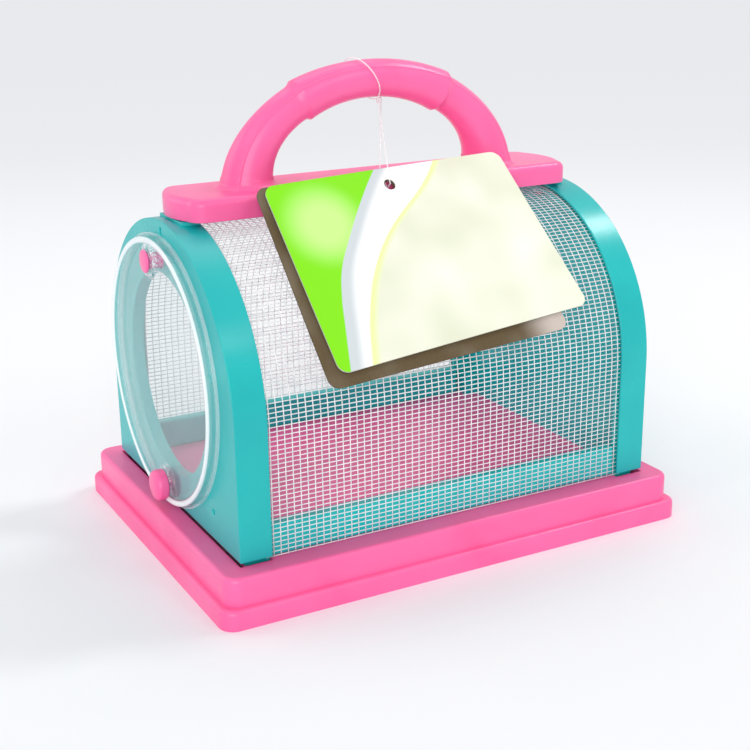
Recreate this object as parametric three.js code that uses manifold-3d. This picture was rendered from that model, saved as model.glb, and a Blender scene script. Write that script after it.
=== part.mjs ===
// Insect rearing cage: a netted barrel vault on a stepped tray, with a round swinging door.
// Millimetres, +Z up. The origin is at the middle of the tray's underside.
// +X runs along the vault to the closed end, and the door end faces -X.
import * as THREE from 'three';
import { mergeVertices } from 'three/addons/utils/BufferGeometryUtils.js';
import { TessellateModifier } from 'three/addons/modifiers/TessellateModifier.js';
import Module from 'manifold-3d';

// Clearances
const gap = 0.3; // between pieces that touch
const screwGap = 0.3; // radial, round a screw's thread

// Tray
const trayLength = 170;
const trayWidth = 128.8;
const trayHeight = 15.5;
const trayStepHeight = 6.4;
const trayStepInset = 2.25;
const trayCorner = 5;
const trayEdge = 1.6; // rounding of both upper edges
const trayWall = 2.4;
const trayFloor = 2.5;

// End frames
const endLedge = 9.57; // tray that shows past each end frame
const sideLedge = 9.4; // tray that shows past each side
const straightHeight = 40.2; // upright side, from the tray to the spring of the arch
const frameDepth = 10.6;
const rimWall = 3.5;
const plateThickness = 4;
const postWidth = 6.2; // screw post in each lower corner
const postHeight = 10;
const padHalfWidth = 9.4; // flat seat on the crown, under the handle's bar
const padInset = 4; // pad's outer end inside the frame's outer face
const padRise = 0.4; // pad above the crown
const doorwayMargin = 14.2; // half the frame's height less the doorway's radius
const doorwayDrop = 2.5; // doorway's centre below the middle of the frame's height

// Net
const netSetback = 1; // net below the frames' outer surface
const netThickness = 0.6;
const netTuck = 1.7; // net's edge inside the frames
const netSlotRoom = 0.6; // room under the net in its slot
const strandWidth = 1.5;
const archStrips = 5; // strips of net over the vault
const gapsPerStrip = 3;
const gapsAlong = 11;

// Side rails
const railThickness = 4.4;
const railHeight = 10.3;
const railChamfer = 1;

// Handle and its bar
const barLength = 144;
const barHalfWidth = 15.5;
const barHeight = 7;
const barCorner = 5;
const barEndBow = 2.5; // how far each end bulges between its corners
const barEdge = 2.4; // rounding of the bar's upper edge
const gripSpan = 90; // between the middles of the legs
const gripSink = 0.4; // springing of the handle's arch below the bar's top
const gripRise = 31.6; // from there to the grip's centre line
const footRadius = 8.5;
const neckRadius = 6;
const gripEndRadius = 7;
const gripRadius = 6.1;
const gripHalfLength = 27; // along X, to the steps at the grip's ends

// Door and its pin and knob
const doorMargin = 3.9; // half the frame's height less the door's radius
const doorDrop = 1.5; // door's centre below the middle of the frame's height
const doorFlange = 1.1; // flange past the skirt
const doorFlangeThickness = 1;
const doorDepth = 3.1; // frame plate to the front of the panel
const doorPanel = 1.6;
const doorSkirt = 1.9;
const doorRimRise = 0.8; // rim ahead of the panel
const pinInset = 7; // door's edge to the pin's middle
const pinRadius = 2.5;
const pinHeadRadius = 3.7;
const pinHeadThickness = 0.9;
const pinTail = 2.6; // pin beyond the inside of the plate
const pinBossRadius = 5.4;
const collarRadius = 4.3;
const collarThickness = 1.7;
const knobInset = 5.3; // door's edge to the knob's middle
const knobRadius = 5;
const knobHeight = 3.4;
const knobStemRadius = 2;
const knobBossRadius = 4.2;

// Screws
const screwRadius = 1.3;
const screwHeadRadius = 2.5;
const screwInset = 2.8; // from the plate to a screw's middle
const screwHeadThickness = 2;
const trayScrewBite = 7.5; // thread above the tray's floor
const barScrewBite = 5.4; // thread inside the bar

// Hang tag and its loop
const leafThickness = 0.5;
const leafSpacing = 0.6; // between the two leaves
const leafCorner = 3.5;
const leafFacet = 26; // longest edge that follows the leaves' bend
const frontLeafWidth = 90.65;
const frontLeafHeight = 63.8;
const frontLeafShift = -0.65; // leaf's centre along X
const frontLeafFall = -6.05; // centre down the slope from where the leaf is nearest the net
const frontLeafTurn = 4.66; // degrees, anticlockwise from the front
const rearLeafWidth = 84.35;
const rearLeafHeight = 67.8;
const rearLeafShift = -6.85;
const rearLeafFall = -3;
const rearLeafTurn = 3.2;
const tagNetRoom = 1.9; // rear leaf to the net, along the tag's middle
const tagBarRoom = 2.6; // rear leaf to the bar's edge, along the tag's middle
const tagTwist = 0.00156; // lift for each mm across and each mm down from the tag's level line
const tagLevelFall = -8;
const tagHoleRadius = 2;
const tagHoleShift = -4.4; // hole along X
const tagHoleFall = -31.5;
const loopRadius = 0.25;
const loopRoom = 0.5; // loop to the leaves and the grip
const loopMiddle = -2.9; // ring's middle on the grip, along X
const loopSlant = 4.15; // how far the ring's ends lie to either side of that
const loopPinch = 239; // degrees round the grip from the back, where both strands leave it
const strandSpacing = 1.2; // between the strands there

// Finishes
const pink = { color: 0xf2609f, roughness: 0.38, metalness: 0 };
const teal = { color: 0x2bbcc4, roughness: 0.35, metalness: 0 };
const clear = { color: 0xdff1f2, roughness: 0.08, metalness: 0, transparent: true, opacity: 0.4 };
const white = { color: 0xe6e9ea, roughness: 0.7, metalness: 0 };
const steel = { color: 0xb8babd, roughness: 0.3, metalness: 1 };
const printedCard = { color: 0xf1f5dc, roughness: 0.45, metalness: 0 };
const plainCard = { color: 0x6f6350, roughness: 0.85, metalness: 0 };
const filament = { color: 0xf4f4f6, roughness: 0.25, metalness: 0, transparent: true, opacity: 0.7 };

// Places that several pieces share
const trayTop = trayHeight;
const seat = trayTop + gap;
const frameEnd = trayLength / 2 - endLedge;
const frameRadius = trayWidth / 2 - sideLedge;
const spring = trayTop + straightHeight;
const frameInner = frameEnd - frameDepth;
const plateInner = frameEnd - plateThickness;
const rimRadius = frameRadius - rimWall;
const crown = spring + frameRadius;
const halfHeight = (crown - trayTop) / 2;
const middleZ = trayTop + halfHeight;
const padTop = crown + padRise;
const barBottom = padTop + gap;
const barTop = barBottom + barHeight;
const netOuter = frameRadius - netSetback;
const netInner = netOuter - netThickness;
const railOuter = netInner - gap;
const railInner = railOuter - railThickness;
const gripCentre = barTop - gripSink + gripRise;
const doorwayRadius = halfHeight - doorwayMargin;
const doorwayZ = middleZ - doorwayDrop;
const doorRadius = halfHeight - doorMargin;
const doorZ = middleZ - doorDrop;
const pivotZ = doorZ + doorRadius - pinInset;
const knobZ = doorZ - doorRadius + knobInset;
const screwX = plateInner - screwInset;
const trayScrewY = rimRadius - postWidth / 2 + 0.4;
const arcSteps = 20; // steps in each quarter of the arches

const wasm = await Module();
wasm.setup();

// Solids and geometry

function toSolid(geometry) {
  const bare = geometry.clone();
  bare.deleteAttribute('normal');
  bare.deleteAttribute('uv');
  const merged = mergeVertices(bare, 1e-4);
  return new wasm.Manifold(new wasm.Mesh({
    numProp: 3,
    vertProperties: new Float32Array(merged.attributes.position.array),
    triVerts: new Uint32Array(merged.index.array),
  }));
}

function toGeometry(solid) {
  const mesh = solid.getMesh();
  const geometry = new THREE.BufferGeometry();
  geometry.setAttribute('position', new THREE.BufferAttribute(new Float32Array(mesh.vertProperties), 3));
  geometry.setIndex(new THREE.BufferAttribute(new Uint32Array(mesh.triVerts), 1));
  geometry.computeVertexNormals();
  return geometry;
}

function block(x0, x1, y0, y1, z0, z1) {
  const geometry = new THREE.BoxGeometry(x1 - x0, y1 - y0, z1 - z0);
  geometry.translate((x0 + x1) / 2, (y0 + y1) / 2, (z0 + z1) / 2);
  return toSolid(geometry);
}

// A round bar along Z, from z0 to z1
function upright(radius, x, y, z0, z1, sides = 20) {
  const geometry = new THREE.CylinderGeometry(radius, radius, z1 - z0, sides);
  geometry.rotateX(Math.PI / 2);
  geometry.translate(x, y, (z0 + z1) / 2);
  return toSolid(geometry);
}

// A round bar along X, from x0 to x1
function axle(radius, y, z, x0, x1, sides = 24) {
  const geometry = new THREE.CylinderGeometry(radius, radius, x1 - x0, sides);
  geometry.rotateZ(Math.PI / 2);
  geometry.translate((x0 + x1) / 2, y, z);
  return toSolid(geometry);
}

// A (y, z) outline pushed along X
function alongX(shape, x0, x1, curveSegments = arcSteps) {
  const geometry = new THREE.ExtrudeGeometry(shape, { depth: x1 - x0, bevelEnabled: false, curveSegments });
  const cycle = new THREE.Matrix4().set(0, 0, 1, x0, 1, 0, 0, 0, 0, 1, 0, 0, 0, 0, 0, 1);
  geometry.applyMatrix4(cycle);
  return toSolid(geometry);
}

// An (x, y) outline pushed up Z, its upper edge rounded by edge
function rising(shape, z0, z1, edge = 0, curveSegments = 6) {
  const geometry = new THREE.ExtrudeGeometry(shape, {
    depth: z1 - z0 + edge * 2,
    bevelEnabled: edge > 0,
    bevelThickness: edge,
    bevelSize: edge,
    bevelOffset: -edge,
    bevelSegments: 3,
    curveSegments,
  });
  geometry.translate(0, 0, z0 - edge * 3);
  if (edge === 0) {
    return toSolid(geometry);
  }
  const reach = trayLength;
  return toSolid(geometry).subtract(block(-reach, reach, -reach, reach, z0 - edge * 5, z0));
}

function roundedRectangle(halfX, halfY, corner) {
  const shape = new THREE.Shape();
  shape.absarc(halfX - corner, halfY - corner, corner, 0, Math.PI / 2);
  shape.absarc(-halfX + corner, halfY - corner, corner, Math.PI / 2, Math.PI);
  shape.absarc(-halfX + corner, -halfY + corner, corner, Math.PI, Math.PI * 1.5);
  shape.absarc(halfX - corner, -halfY + corner, corner, Math.PI * 1.5, Math.PI * 2);
  shape.closePath();
  return shape;
}

// A vault's (y, z) outline: upright sides from bottom to the spring, and a half circle
function vault(radius, bottom) {
  const shape = new THREE.Shape();
  shape.moveTo(-radius, bottom);
  shape.lineTo(radius, bottom);
  shape.absarc(0, spring, radius, 0, Math.PI);
  shape.closePath();
  return shape;
}

function piece(name, solid, finish) {
  const mesh = new THREE.Mesh(toGeometry(solid), new THREE.MeshStandardMaterial(finish));
  mesh.name = name;
  return mesh;
}

// A tube of varied radius: rings square to its route, which lies across the given direction
// more or less, with flat ends or joined into a loop
function sweep(route, radii, across, sides, closed) {
  const positions = [];
  const indices = [];
  const count = route.length;
  for (let i = 0; i < count; i += 1) {
    const before = route[closed ? (i + count - 1) % count : Math.max(i - 1, 0)];
    const after = route[closed ? (i + 1) % count : Math.min(i + 1, count - 1)];
    const tangent = after.clone().sub(before).normalize();
    const sideways = across.clone().addScaledVector(tangent, -across.dot(tangent)).normalize();
    const outward = tangent.clone().cross(sideways);
    for (let k = 0; k < sides; k += 1) {
      const angle = (k / sides) * Math.PI * 2;
      const point = route[i].clone()
        .addScaledVector(sideways, Math.cos(angle) * radii[i])
        .addScaledVector(outward, Math.sin(angle) * radii[i]);
      positions.push(point.x, point.y, point.z);
    }
  }
  const rings = closed ? count : count - 1;
  for (let i = 0; i < rings; i += 1) {
    const here = i * sides;
    const next = ((i + 1) % count) * sides;
    for (let k = 0; k < sides; k += 1) {
      const turn = (k + 1) % sides;
      indices.push(here + k, here + turn, next + k);
      indices.push(here + turn, next + turn, next + k);
    }
  }
  if (!closed) {
    const last = (count - 1) * sides;
    for (let k = 1; k < sides - 1; k += 1) {
      indices.push(0, k + 1, k);
      indices.push(last, last + k, last + k + 1);
    }
  }
  const geometry = new THREE.BufferGeometry();
  geometry.setAttribute('position', new THREE.Float32BufferAttribute(positions, 3));
  geometry.setIndex(indices);
  return toSolid(geometry);
}

// Tray: two steps, hollow underneath
function makeTray() {
  const halfX = trayLength / 2;
  const halfY = trayWidth / 2;
  const stepX = halfX - trayStepInset;
  const stepY = halfY - trayStepInset;
  const lower = rising(roundedRectangle(halfX, halfY, trayCorner), 0, trayStepHeight, trayEdge);
  const upper = rising(roundedRectangle(stepX, stepY, trayCorner), 0, trayTop, trayEdge);
  const hollow = roundedRectangle(stepX - trayWall, stepY - trayWall, trayCorner - trayWall / 2);
  let tray = lower.add(upper).subtract(rising(hollow, -1, trayTop - trayFloor));
  for (const x of [-screwX, screwX]) {
    for (const y of [-trayScrewY, trayScrewY]) {
      tray = tray.subtract(upright(screwRadius + screwGap, x, y, 0, trayTop + 1));
    }
  }
  return piece('base_tray', tray, pink);
}

// End frame at +X: a rim with a plate across its outer face and a screw post in each corner
function endFrameSolid() {
  const shell = alongX(vault(frameRadius, seat), frameInner, frameEnd);
  const recess = alongX(vault(rimRadius, seat - 1), frameInner - 1, plateInner);
  const slotOuter = alongX(vault(netOuter + gap, seat - 1), frameInner - 1, frameInner + netTuck + gap);
  const slotInner = alongX(vault(netInner - netSlotRoom, seat - 2), frameInner - 2, frameInner + netTuck + 2);
  const pad = block(frameInner, frameEnd - padInset, -padHalfWidth, padHalfWidth, crown - rimWall, padTop);
  let frame = shell.add(pad).subtract(recess);
  for (const side of [-1, 1]) {
    const near = side * (rimRadius - postWidth);
    const far = side * (rimRadius + 0.5);
    frame = frame.add(block(plateInner - postWidth, plateInner + 0.5,
      Math.min(near, far), Math.max(near, far), seat, seat + postHeight));
  }
  frame = frame.subtract(slotOuter.subtract(slotInner));
  for (const side of [-1, 1]) {
    const bore = upright(screwRadius + screwGap, screwX, side * trayScrewY, seat - 1,
      trayTop + trayScrewBite + 1, 16);
    frame = frame.subtract(bore);
  }
  return frame.subtract(upright(screwRadius + screwGap, screwX, 0, crown - rimWall - 2, padTop + 1, 16));
}

function turned(solid) {
  return solid.rotate([0, 0, 180]);
}

function makeEndFrames() {
  const closed = endFrameSolid();
  const doorway = axle(doorwayRadius, 0, doorwayZ, -frameEnd - 1, -plateInner + 1, 64);
  const pinHole = axle(pinRadius + gap, 0, pivotZ, -frameEnd - 1, -plateInner + 1);
  const open = turned(closed).subtract(doorway).subtract(pinHole);
  return [piece('closed_end_frame', closed, teal), piece('door_end_frame', open, teal)];
}

// Side rails: they stand on the tray behind the net's lower edges
function makeRails() {
  const reach = frameInner - gap;
  return [['front', -1], ['back', 1]].map(([name, side]) => {
    const shape = new THREE.Shape();
    shape.moveTo(side * railOuter, seat);
    shape.lineTo(side * railOuter, seat + railHeight);
    shape.lineTo(side * (railInner + railChamfer), seat + railHeight);
    shape.lineTo(side * railInner, seat + railHeight - railChamfer);
    shape.lineTo(side * railInner, seat);
    shape.closePath();
    return piece(`${name}_side_rail`, alongX(shape, -reach, reach), teal);
  });
}

// A strip of the net: a lattice between two distances round the vault's outline
function netStrip(name, from, to) {
  const reach = frameInner + netTuck;
  const side = spring - seat;
  const middle = (netOuter + netInner) / 2;
  const arc = Math.PI * middle;
  const around = [from + (from > 0 ? gap / 2 : 0)];
  const rowPitch = (to - from) / gapsPerStrip;
  for (let i = 0; i < gapsPerStrip; i += 1) {
    around.push(from + i * rowPitch + strandWidth / 2, from + (i + 1) * rowPitch - strandWidth / 2);
  }
  around.push(to - (to < side * 2 + arc ? gap / 2 : 0));
  const along = [-reach];
  const pitch = (reach * 2 - strandWidth) / gapsAlong;
  for (let i = 0; i < gapsAlong; i += 1) {
    along.push(-reach + strandWidth + i * pitch, -reach + (i + 1) * pitch);
  }
  along.push(reach);
  const place = (distance, radius) => {
    if (distance < side) {
      return [-radius, seat + distance];
    }
    if (distance > side + arc) {
      return [radius, spring - (distance - side - arc)];
    }
    const angle = Math.PI - (distance - side) / middle;
    return [radius * Math.cos(angle), spring + radius * Math.sin(angle)];
  };
  const positions = [];
  for (const distance of around) {
    for (const x of along) {
      for (const radius of [netInner, netOuter]) {
        const [y, z] = place(distance, radius);
        positions.push(x, y, z);
      }
    }
  }
  const rows = around.length - 1;
  const columns = along.length - 1;
  const vertex = (row, column, layer) => (row * (columns + 1) + column) * 2 + layer;
  const solidCell = (row, column) => row >= 0 && column >= 0 && row < rows && column < columns
    && !(row % 2 === 1 && column % 2 === 1);
  const indices = [];
  const quad = (a, b, c, d) => indices.push(a, b, c, a, c, d);
  for (let row = 0; row < rows; row += 1) {
    for (let column = 0; column < columns; column += 1) {
      if (!solidCell(row, column)) {
        continue;
      }
      const corner = (i, j, layer) => vertex(row + i, column + j, layer);
      quad(corner(0, 0, 1), corner(0, 1, 1), corner(1, 1, 1), corner(1, 0, 1));
      quad(corner(0, 0, 0), corner(1, 0, 0), corner(1, 1, 0), corner(0, 1, 0));
      if (!solidCell(row - 1, column)) {
        quad(corner(0, 0, 0), corner(0, 1, 0), corner(0, 1, 1), corner(0, 0, 1));
      }
      if (!solidCell(row + 1, column)) {
        quad(corner(1, 1, 0), corner(1, 0, 0), corner(1, 0, 1), corner(1, 1, 1));
      }
      if (!solidCell(row, column - 1)) {
        quad(corner(1, 0, 0), corner(0, 0, 0), corner(0, 0, 1), corner(1, 0, 1));
      }
      if (!solidCell(row, column + 1)) {
        quad(corner(0, 1, 0), corner(1, 1, 0), corner(1, 1, 1), corner(0, 1, 1));
      }
    }
  }
  const geometry = new THREE.BufferGeometry();
  geometry.setAttribute('position', new THREE.Float32BufferAttribute(positions, 3));
  geometry.setIndex(indices);
  return piece(name, toSolid(geometry), white);
}

// Net: strips laid edge to edge, up the front, over the vault and down the back
function makeNet() {
  const side = spring - seat;
  const arc = Math.PI * (netOuter + netInner) / 2;
  const strips = [netStrip('net_front_side', 0, side)];
  for (let i = 0; i < archStrips; i += 1) {
    const from = side + (arc * i) / archStrips;
    strips.push(netStrip(`net_vault_${i + 1}`, from, from + arc / archStrips));
  }
  strips.push(netStrip('net_back_side', side + arc, side * 2 + arc));
  return strips;
}

// The bar's plan: straight sides, bowed ends and round corners
function barOutline() {
  const halfX = barLength / 2;
  const cornerX = halfX - barEndBow - barCorner;
  const cornerY = barHalfWidth - barCorner;
  const shape = new THREE.Shape();
  const corners = [[1, -1, -Math.PI / 2], [1, 1, 0], [-1, 1, Math.PI / 2], [-1, -1, Math.PI]];
  for (const [signX, signY, start] of corners) {
    shape.absarc(signX * cornerX, signY * cornerY, barCorner, start, start + Math.PI / 2);
    if (signX !== signY) {
      shape.quadraticCurveTo(signX * (halfX + barEndBow), 0, signX * (cornerX + barCorner), -signY * cornerY);
    }
  }
  shape.closePath();
  return shape;
}

// The handle's legs and grip as one arched tube, whose grip starts with a step at each end
function archedGrip() {
  const route = [];
  const radii = [];
  const halfSpan = gripSpan / 2;
  const springing = barTop - gripSink;
  const gripStart = Math.acos(gripHalfLength / halfSpan);
  const legRadius = (angle) => {
    const along = Math.min(angle / gripStart, 1);
    return footRadius - (footRadius - neckRadius) * Math.sin((along * Math.PI) / 2) ** 1.2;
  };
  const add = (angle, radius) => {
    route.push(new THREE.Vector3(-halfSpan * Math.cos(angle), 0, springing + gripRise * Math.sin(angle)));
    radii.push(radius);
  };
  const steps = 9;
  const stepLength = 0.045;
  route.push(new THREE.Vector3(-halfSpan, 0, barTop - barHeight / 2));
  radii.push(footRadius);
  for (let i = 0; i <= steps; i += 1) {
    const angle = (gripStart * i) / steps;
    add(angle, legRadius(angle));
  }
  const gripFrom = gripStart + stepLength;
  for (let i = 0; i <= steps * 2; i += 1) {
    const angle = gripFrom + ((Math.PI - gripFrom * 2) * i) / (steps * 2);
    const fromMiddle = Math.abs(i / steps - 1);
    add(angle, gripRadius + (gripEndRadius - gripRadius) * fromMiddle ** 2);
  }
  for (let i = steps; i >= 0; i -= 1) {
    const angle = (gripStart * i) / steps;
    add(Math.PI - angle, legRadius(angle));
  }
  route.push(new THREE.Vector3(halfSpan, 0, barTop - barHeight / 2));
  radii.push(footRadius);
  return sweep(route, radii, new THREE.Vector3(0, 1, 0), 18, false);
}

function makeHandle() {
  let handle = rising(barOutline(), barBottom, barTop, barEdge, 8).add(archedGrip());
  for (const x of [-screwX, screwX]) {
    handle = handle.subtract(upright(screwRadius + screwGap, x, 0, barBottom - 1, barBottom + barScrewBite + gap, 16));
  }
  return piece('carry_handle', handle, pink);
}

// Door: a shallow clear dish, turned about its own middle, with bosses for its pin and knob
function makeDoor() {
  const back = gap;
  const front = doorDepth + doorRimRise;
  const flange = doorRadius + doorFlange;
  const inner = doorRadius - doorSkirt;
  const lip = doorSkirt / 3;
  const profile = [
    [0, doorDepth - doorPanel], [inner, doorDepth - doorPanel], [inner, back], [flange, back],
    [flange, back + doorFlangeThickness], [doorRadius, back + doorFlangeThickness],
    [doorRadius, front - lip], [doorRadius - lip, front], [inner + lip / 2, front],
    [inner - lip / 2, doorDepth], [0, doorDepth],
  ].map(([radius, height]) => new THREE.Vector2(radius, height));
  const dish = new THREE.LatheGeometry(profile, 56);
  dish.rotateZ(Math.PI / 2);
  dish.translate(-frameEnd, 0, doorZ);
  let door = toSolid(dish);
  door = door.add(axle(pinBossRadius, 0, pivotZ, -frameEnd - front, -frameEnd - back));
  door = door.add(axle(knobBossRadius, 0, knobZ, -frameEnd - front, -frameEnd - back - doorFlangeThickness));
  door = door.subtract(axle(pinRadius + gap, 0, pivotZ, -frameEnd - front - 1, -frameEnd + 1));
  door = door.subtract(axle(knobStemRadius + gap, 0, knobZ, -frameEnd - front - 1, -frameEnd + 1));
  return piece('door_window', door, clear);
}

// A round piece turned about X: radius and distance ahead of the end frame's face
function turnedPiece(name, profile, z, finish, sides = 24) {
  const points = profile.map(([radius, height]) => new THREE.Vector2(radius, height));
  const geometry = new THREE.LatheGeometry(points, sides);
  geometry.rotateZ(Math.PI / 2);
  geometry.translate(-frameEnd, 0, z);
  return piece(name, toSolid(geometry), finish);
}

function makeDoorFittings() {
  const under = doorDepth + doorRimRise + gap;
  const head = under + pinHeadThickness;
  const tail = -plateThickness - pinTail;
  const pin = turnedPiece('door_pivot_pin', [
    [0, tail], [pinRadius - 0.4, tail], [pinRadius, tail + 0.4], [pinRadius, under], [pinHeadRadius, under],
    [pinHeadRadius, head - 0.3], [pinHeadRadius - 0.8, head], [0, head],
  ], pivotZ, pink);
  const collarBack = -plateThickness - gap;
  const collar = turnedPiece('pivot_collar', [
    [pinRadius + gap, collarBack - collarThickness], [collarRadius, collarBack - collarThickness],
    [collarRadius, collarBack], [pinRadius + gap, collarBack], [pinRadius + gap, collarBack - collarThickness],
  ], pivotZ, pink);
  const top = under + knobHeight;
  const stemEnd = doorDepth - doorPanel - gap;
  const knob = turnedPiece('door_knob', [
    [0, stemEnd], [knobStemRadius, stemEnd], [knobStemRadius, under], [knobRadius - 0.5, under],
    [knobRadius, under + 0.5], [knobRadius, top - 1.6], [knobRadius - 0.5, top - 0.7],
    [knobRadius - 1.5, top - 0.15], [0, top],
  ], knobZ, pink);
  return [pin, collar, knob];
}

// A pan-head screw whose head is at the bottom and whose thread runs up from it
function screwSolid(x, y, headTop, tip) {
  const profile = [
    [0, -screwHeadThickness], [screwHeadRadius - 0.8, -screwHeadThickness], [screwHeadRadius, -screwHeadThickness / 2],
    [screwHeadRadius, 0], [screwRadius, 0], [screwRadius, tip - headTop - 1], [0, tip - headTop],
  ].map(([radius, height]) => new THREE.Vector2(radius, height));
  const geometry = new THREE.LatheGeometry(profile, 14);
  geometry.rotateX(Math.PI / 2);
  const driveWidth = screwHeadRadius / 4;
  const driveReach = screwHeadRadius * 0.55;
  const driveDepth = screwHeadThickness / 2;
  const low = -screwHeadThickness;
  const drive = block(-driveReach, driveReach, -driveWidth / 2, driveWidth / 2, low - 1, low + driveDepth)
    .add(block(-driveWidth / 2, driveWidth / 2, -driveReach, driveReach, low - 1, low + driveDepth));
  return toSolid(geometry).subtract(drive).translate([x, y, headTop]);
}

function makeScrews() {
  const screws = [];
  const ends = [['door_end', -1], ['closed_end', 1]];
  for (const [end, signX] of ends) {
    for (const [side, signY] of [['front', -1], ['back', 1]]) {
      const headTop = trayTop - trayFloor - gap;
      const solid = screwSolid(signX * screwX, signY * trayScrewY, headTop, trayTop + trayScrewBite);
      screws.push(piece(`tray_screw_${end}_${side}`, solid, steel));
    }
    const headTop = spring + Math.sqrt(rimRadius ** 2 - screwHeadRadius ** 2) - gap;
    const solid = screwSolid(signX * screwX, 0, headTop, barBottom + barScrewBite);
    screws.push(piece(`handle_screw_${end}`, solid, steel));
  }
  return screws;
}

// Hang tag. Its middle lies on the common tangent of the bar's rounded edge and the arch,
// each with its room, and its corners bend off that plane in turn.
function tagPlane() {
  const edgeY = -(barHalfWidth - barEdge);
  const edgeZ = barTop - barEdge;
  const archRoom = netOuter + tagNetRoom;
  const edgeRoom = barEdge + tagBarRoom;
  const reach = Math.hypot(edgeY, edgeZ - spring);
  const lean = Math.atan2(-edgeY, edgeZ - spring) + Math.acos((archRoom - edgeRoom) / reach);
  const normal = new THREE.Vector3(0, -Math.sin(lean), Math.cos(lean));
  const down = new THREE.Vector3(0, -Math.cos(lean), -Math.sin(lean));
  const foot = new THREE.Vector3(0, 0, spring).addScaledVector(normal, archRoom);
  return { normal, down, foot };
}

// A point of the tag: along X, down its slope, and out from its rear face
function onTag(plane, x, fall, out) {
  return plane.foot.clone()
    .addScaledVector(plane.down, fall)
    .addScaledVector(plane.normal, out + tagTwist * x * (fall - tagLevelFall))
    .add(new THREE.Vector3(x, 0, 0));
}

function makeLeaf(name, plane, leaf, finish) {
  const sheet = roundedRectangle(leaf.width / 2, leaf.height / 2, leafCorner);
  const angle = THREE.MathUtils.degToRad(leaf.turn);
  const across = tagHoleShift - leaf.shift;
  const up = leaf.fall - tagHoleFall;
  const hole = new THREE.Path();
  const holeX = across * Math.cos(angle) + up * Math.sin(angle);
  const holeY = up * Math.cos(angle) - across * Math.sin(angle);
  hole.absarc(holeX, holeY, tagHoleRadius, 0, Math.PI * 2, true);
  sheet.holes.push(hole);
  const flat = new THREE.ExtrudeGeometry(sheet, { depth: leafThickness, bevelEnabled: false, curveSegments: 4 });
  const geometry = new TessellateModifier(leafFacet, 10).modify(flat);
  geometry.rotateZ(angle);
  const position = geometry.attributes.position;
  for (let i = 0; i < position.count; i += 1) {
    const x = leaf.shift + position.getX(i);
    const fall = leaf.fall - position.getY(i);
    const point = onTag(plane, x, fall, leaf.out + position.getZ(i));
    position.setXYZ(i, point.x, point.y, point.z);
  }
  return piece(name, toSolid(geometry), finish);
}

// The loop: a ring round the grip, pinched below it, whose two strands go through the tag's hole
function makeLoop(plane) {
  const ringRadius = gripRadius + loopRoom + loopRadius;
  const ahead = leafThickness * 2 + leafSpacing + loopRoom + loopRadius;
  const behind = -(loopRoom + loopRadius);
  const holeTop = tagHoleFall - tagHoleRadius / 2;
  const pinch = THREE.MathUtils.degToRad(loopPinch);
  const route = [];
  const steps = 24;
  for (let i = 0; i <= steps; i += 1) {
    const turn = i / steps;
    const angle = pinch - turn * Math.PI * 2;
    const x = loopMiddle + loopSlant * Math.cos(turn * Math.PI * 2) + strandSpacing * (turn - 0.5);
    route.push(new THREE.Vector3(x, ringRadius * Math.cos(angle), gripCentre + ringRadius * Math.sin(angle)));
  }
  route.push(onTag(plane, tagHoleShift, holeTop - tagHoleRadius * 3, behind));
  route.push(onTag(plane, tagHoleShift, holeTop, behind));
  route.push(onTag(plane, tagHoleShift, tagHoleFall, behind + loopRadius));
  route.push(onTag(plane, tagHoleShift, tagHoleFall, ahead - loopRadius));
  route.push(onTag(plane, tagHoleShift, holeTop, ahead));
  const across = new THREE.Vector3(1, 0, 0);
  return piece('tag_loop', sweep(route, route.map(() => loopRadius), across, 6, true), filament);
}

function makeTag() {
  const plane = tagPlane();
  const rearLeaf = {
    width: rearLeafWidth, height: rearLeafHeight, shift: rearLeafShift, fall: rearLeafFall, turn: rearLeafTurn, out: 0,
  };
  const frontLeaf = {
    width: frontLeafWidth,
    height: frontLeafHeight,
    shift: frontLeafShift,
    fall: frontLeafFall,
    turn: frontLeafTurn,
    out: leafThickness + leafSpacing,
  };
  return [
    makeLeaf('tag_rear_leaf', plane, rearLeaf, plainCard),
    makeLeaf('tag_front_leaf', plane, frontLeaf, printedCard),
    makeLoop(plane),
  ];
}

const cage = new THREE.Group();
cage.add(makeTray(), ...makeEndFrames(), ...makeRails(), ...makeNet(), makeHandle());
cage.add(makeDoor(), ...makeDoorFittings(), ...makeScrews(), ...makeTag());

export default cage;
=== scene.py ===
"""Insect rearing cage: a netted barrel vault on a stepped tray, with a round clear door.

Metres, +Z up. +X runs along the vault to the closed end, the door end faces -X and the front -Y.
"""

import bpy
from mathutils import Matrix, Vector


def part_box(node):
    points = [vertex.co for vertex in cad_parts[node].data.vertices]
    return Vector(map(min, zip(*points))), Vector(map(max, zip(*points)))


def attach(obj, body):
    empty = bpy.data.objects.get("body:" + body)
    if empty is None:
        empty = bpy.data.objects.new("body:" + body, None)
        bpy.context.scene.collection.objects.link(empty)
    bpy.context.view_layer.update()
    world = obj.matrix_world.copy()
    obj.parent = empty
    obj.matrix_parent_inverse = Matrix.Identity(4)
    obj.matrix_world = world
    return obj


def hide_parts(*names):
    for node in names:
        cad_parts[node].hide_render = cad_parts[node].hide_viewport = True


bl_info = {
    "name": "Insect rearing cage",
    "version": (1, 0, 0),
    "blender": (4, 5, 0),
    "location": "3D View > Sidebar > Cage",
    "description": "Models the moulded, netted and printed pieces of an insect rearing cage",
    "category": "Object",
}

from math import acos, atan2, cos, hypot, pi, radians, sin

import bmesh
import bpy
from mathutils import Matrix, Vector

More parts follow.
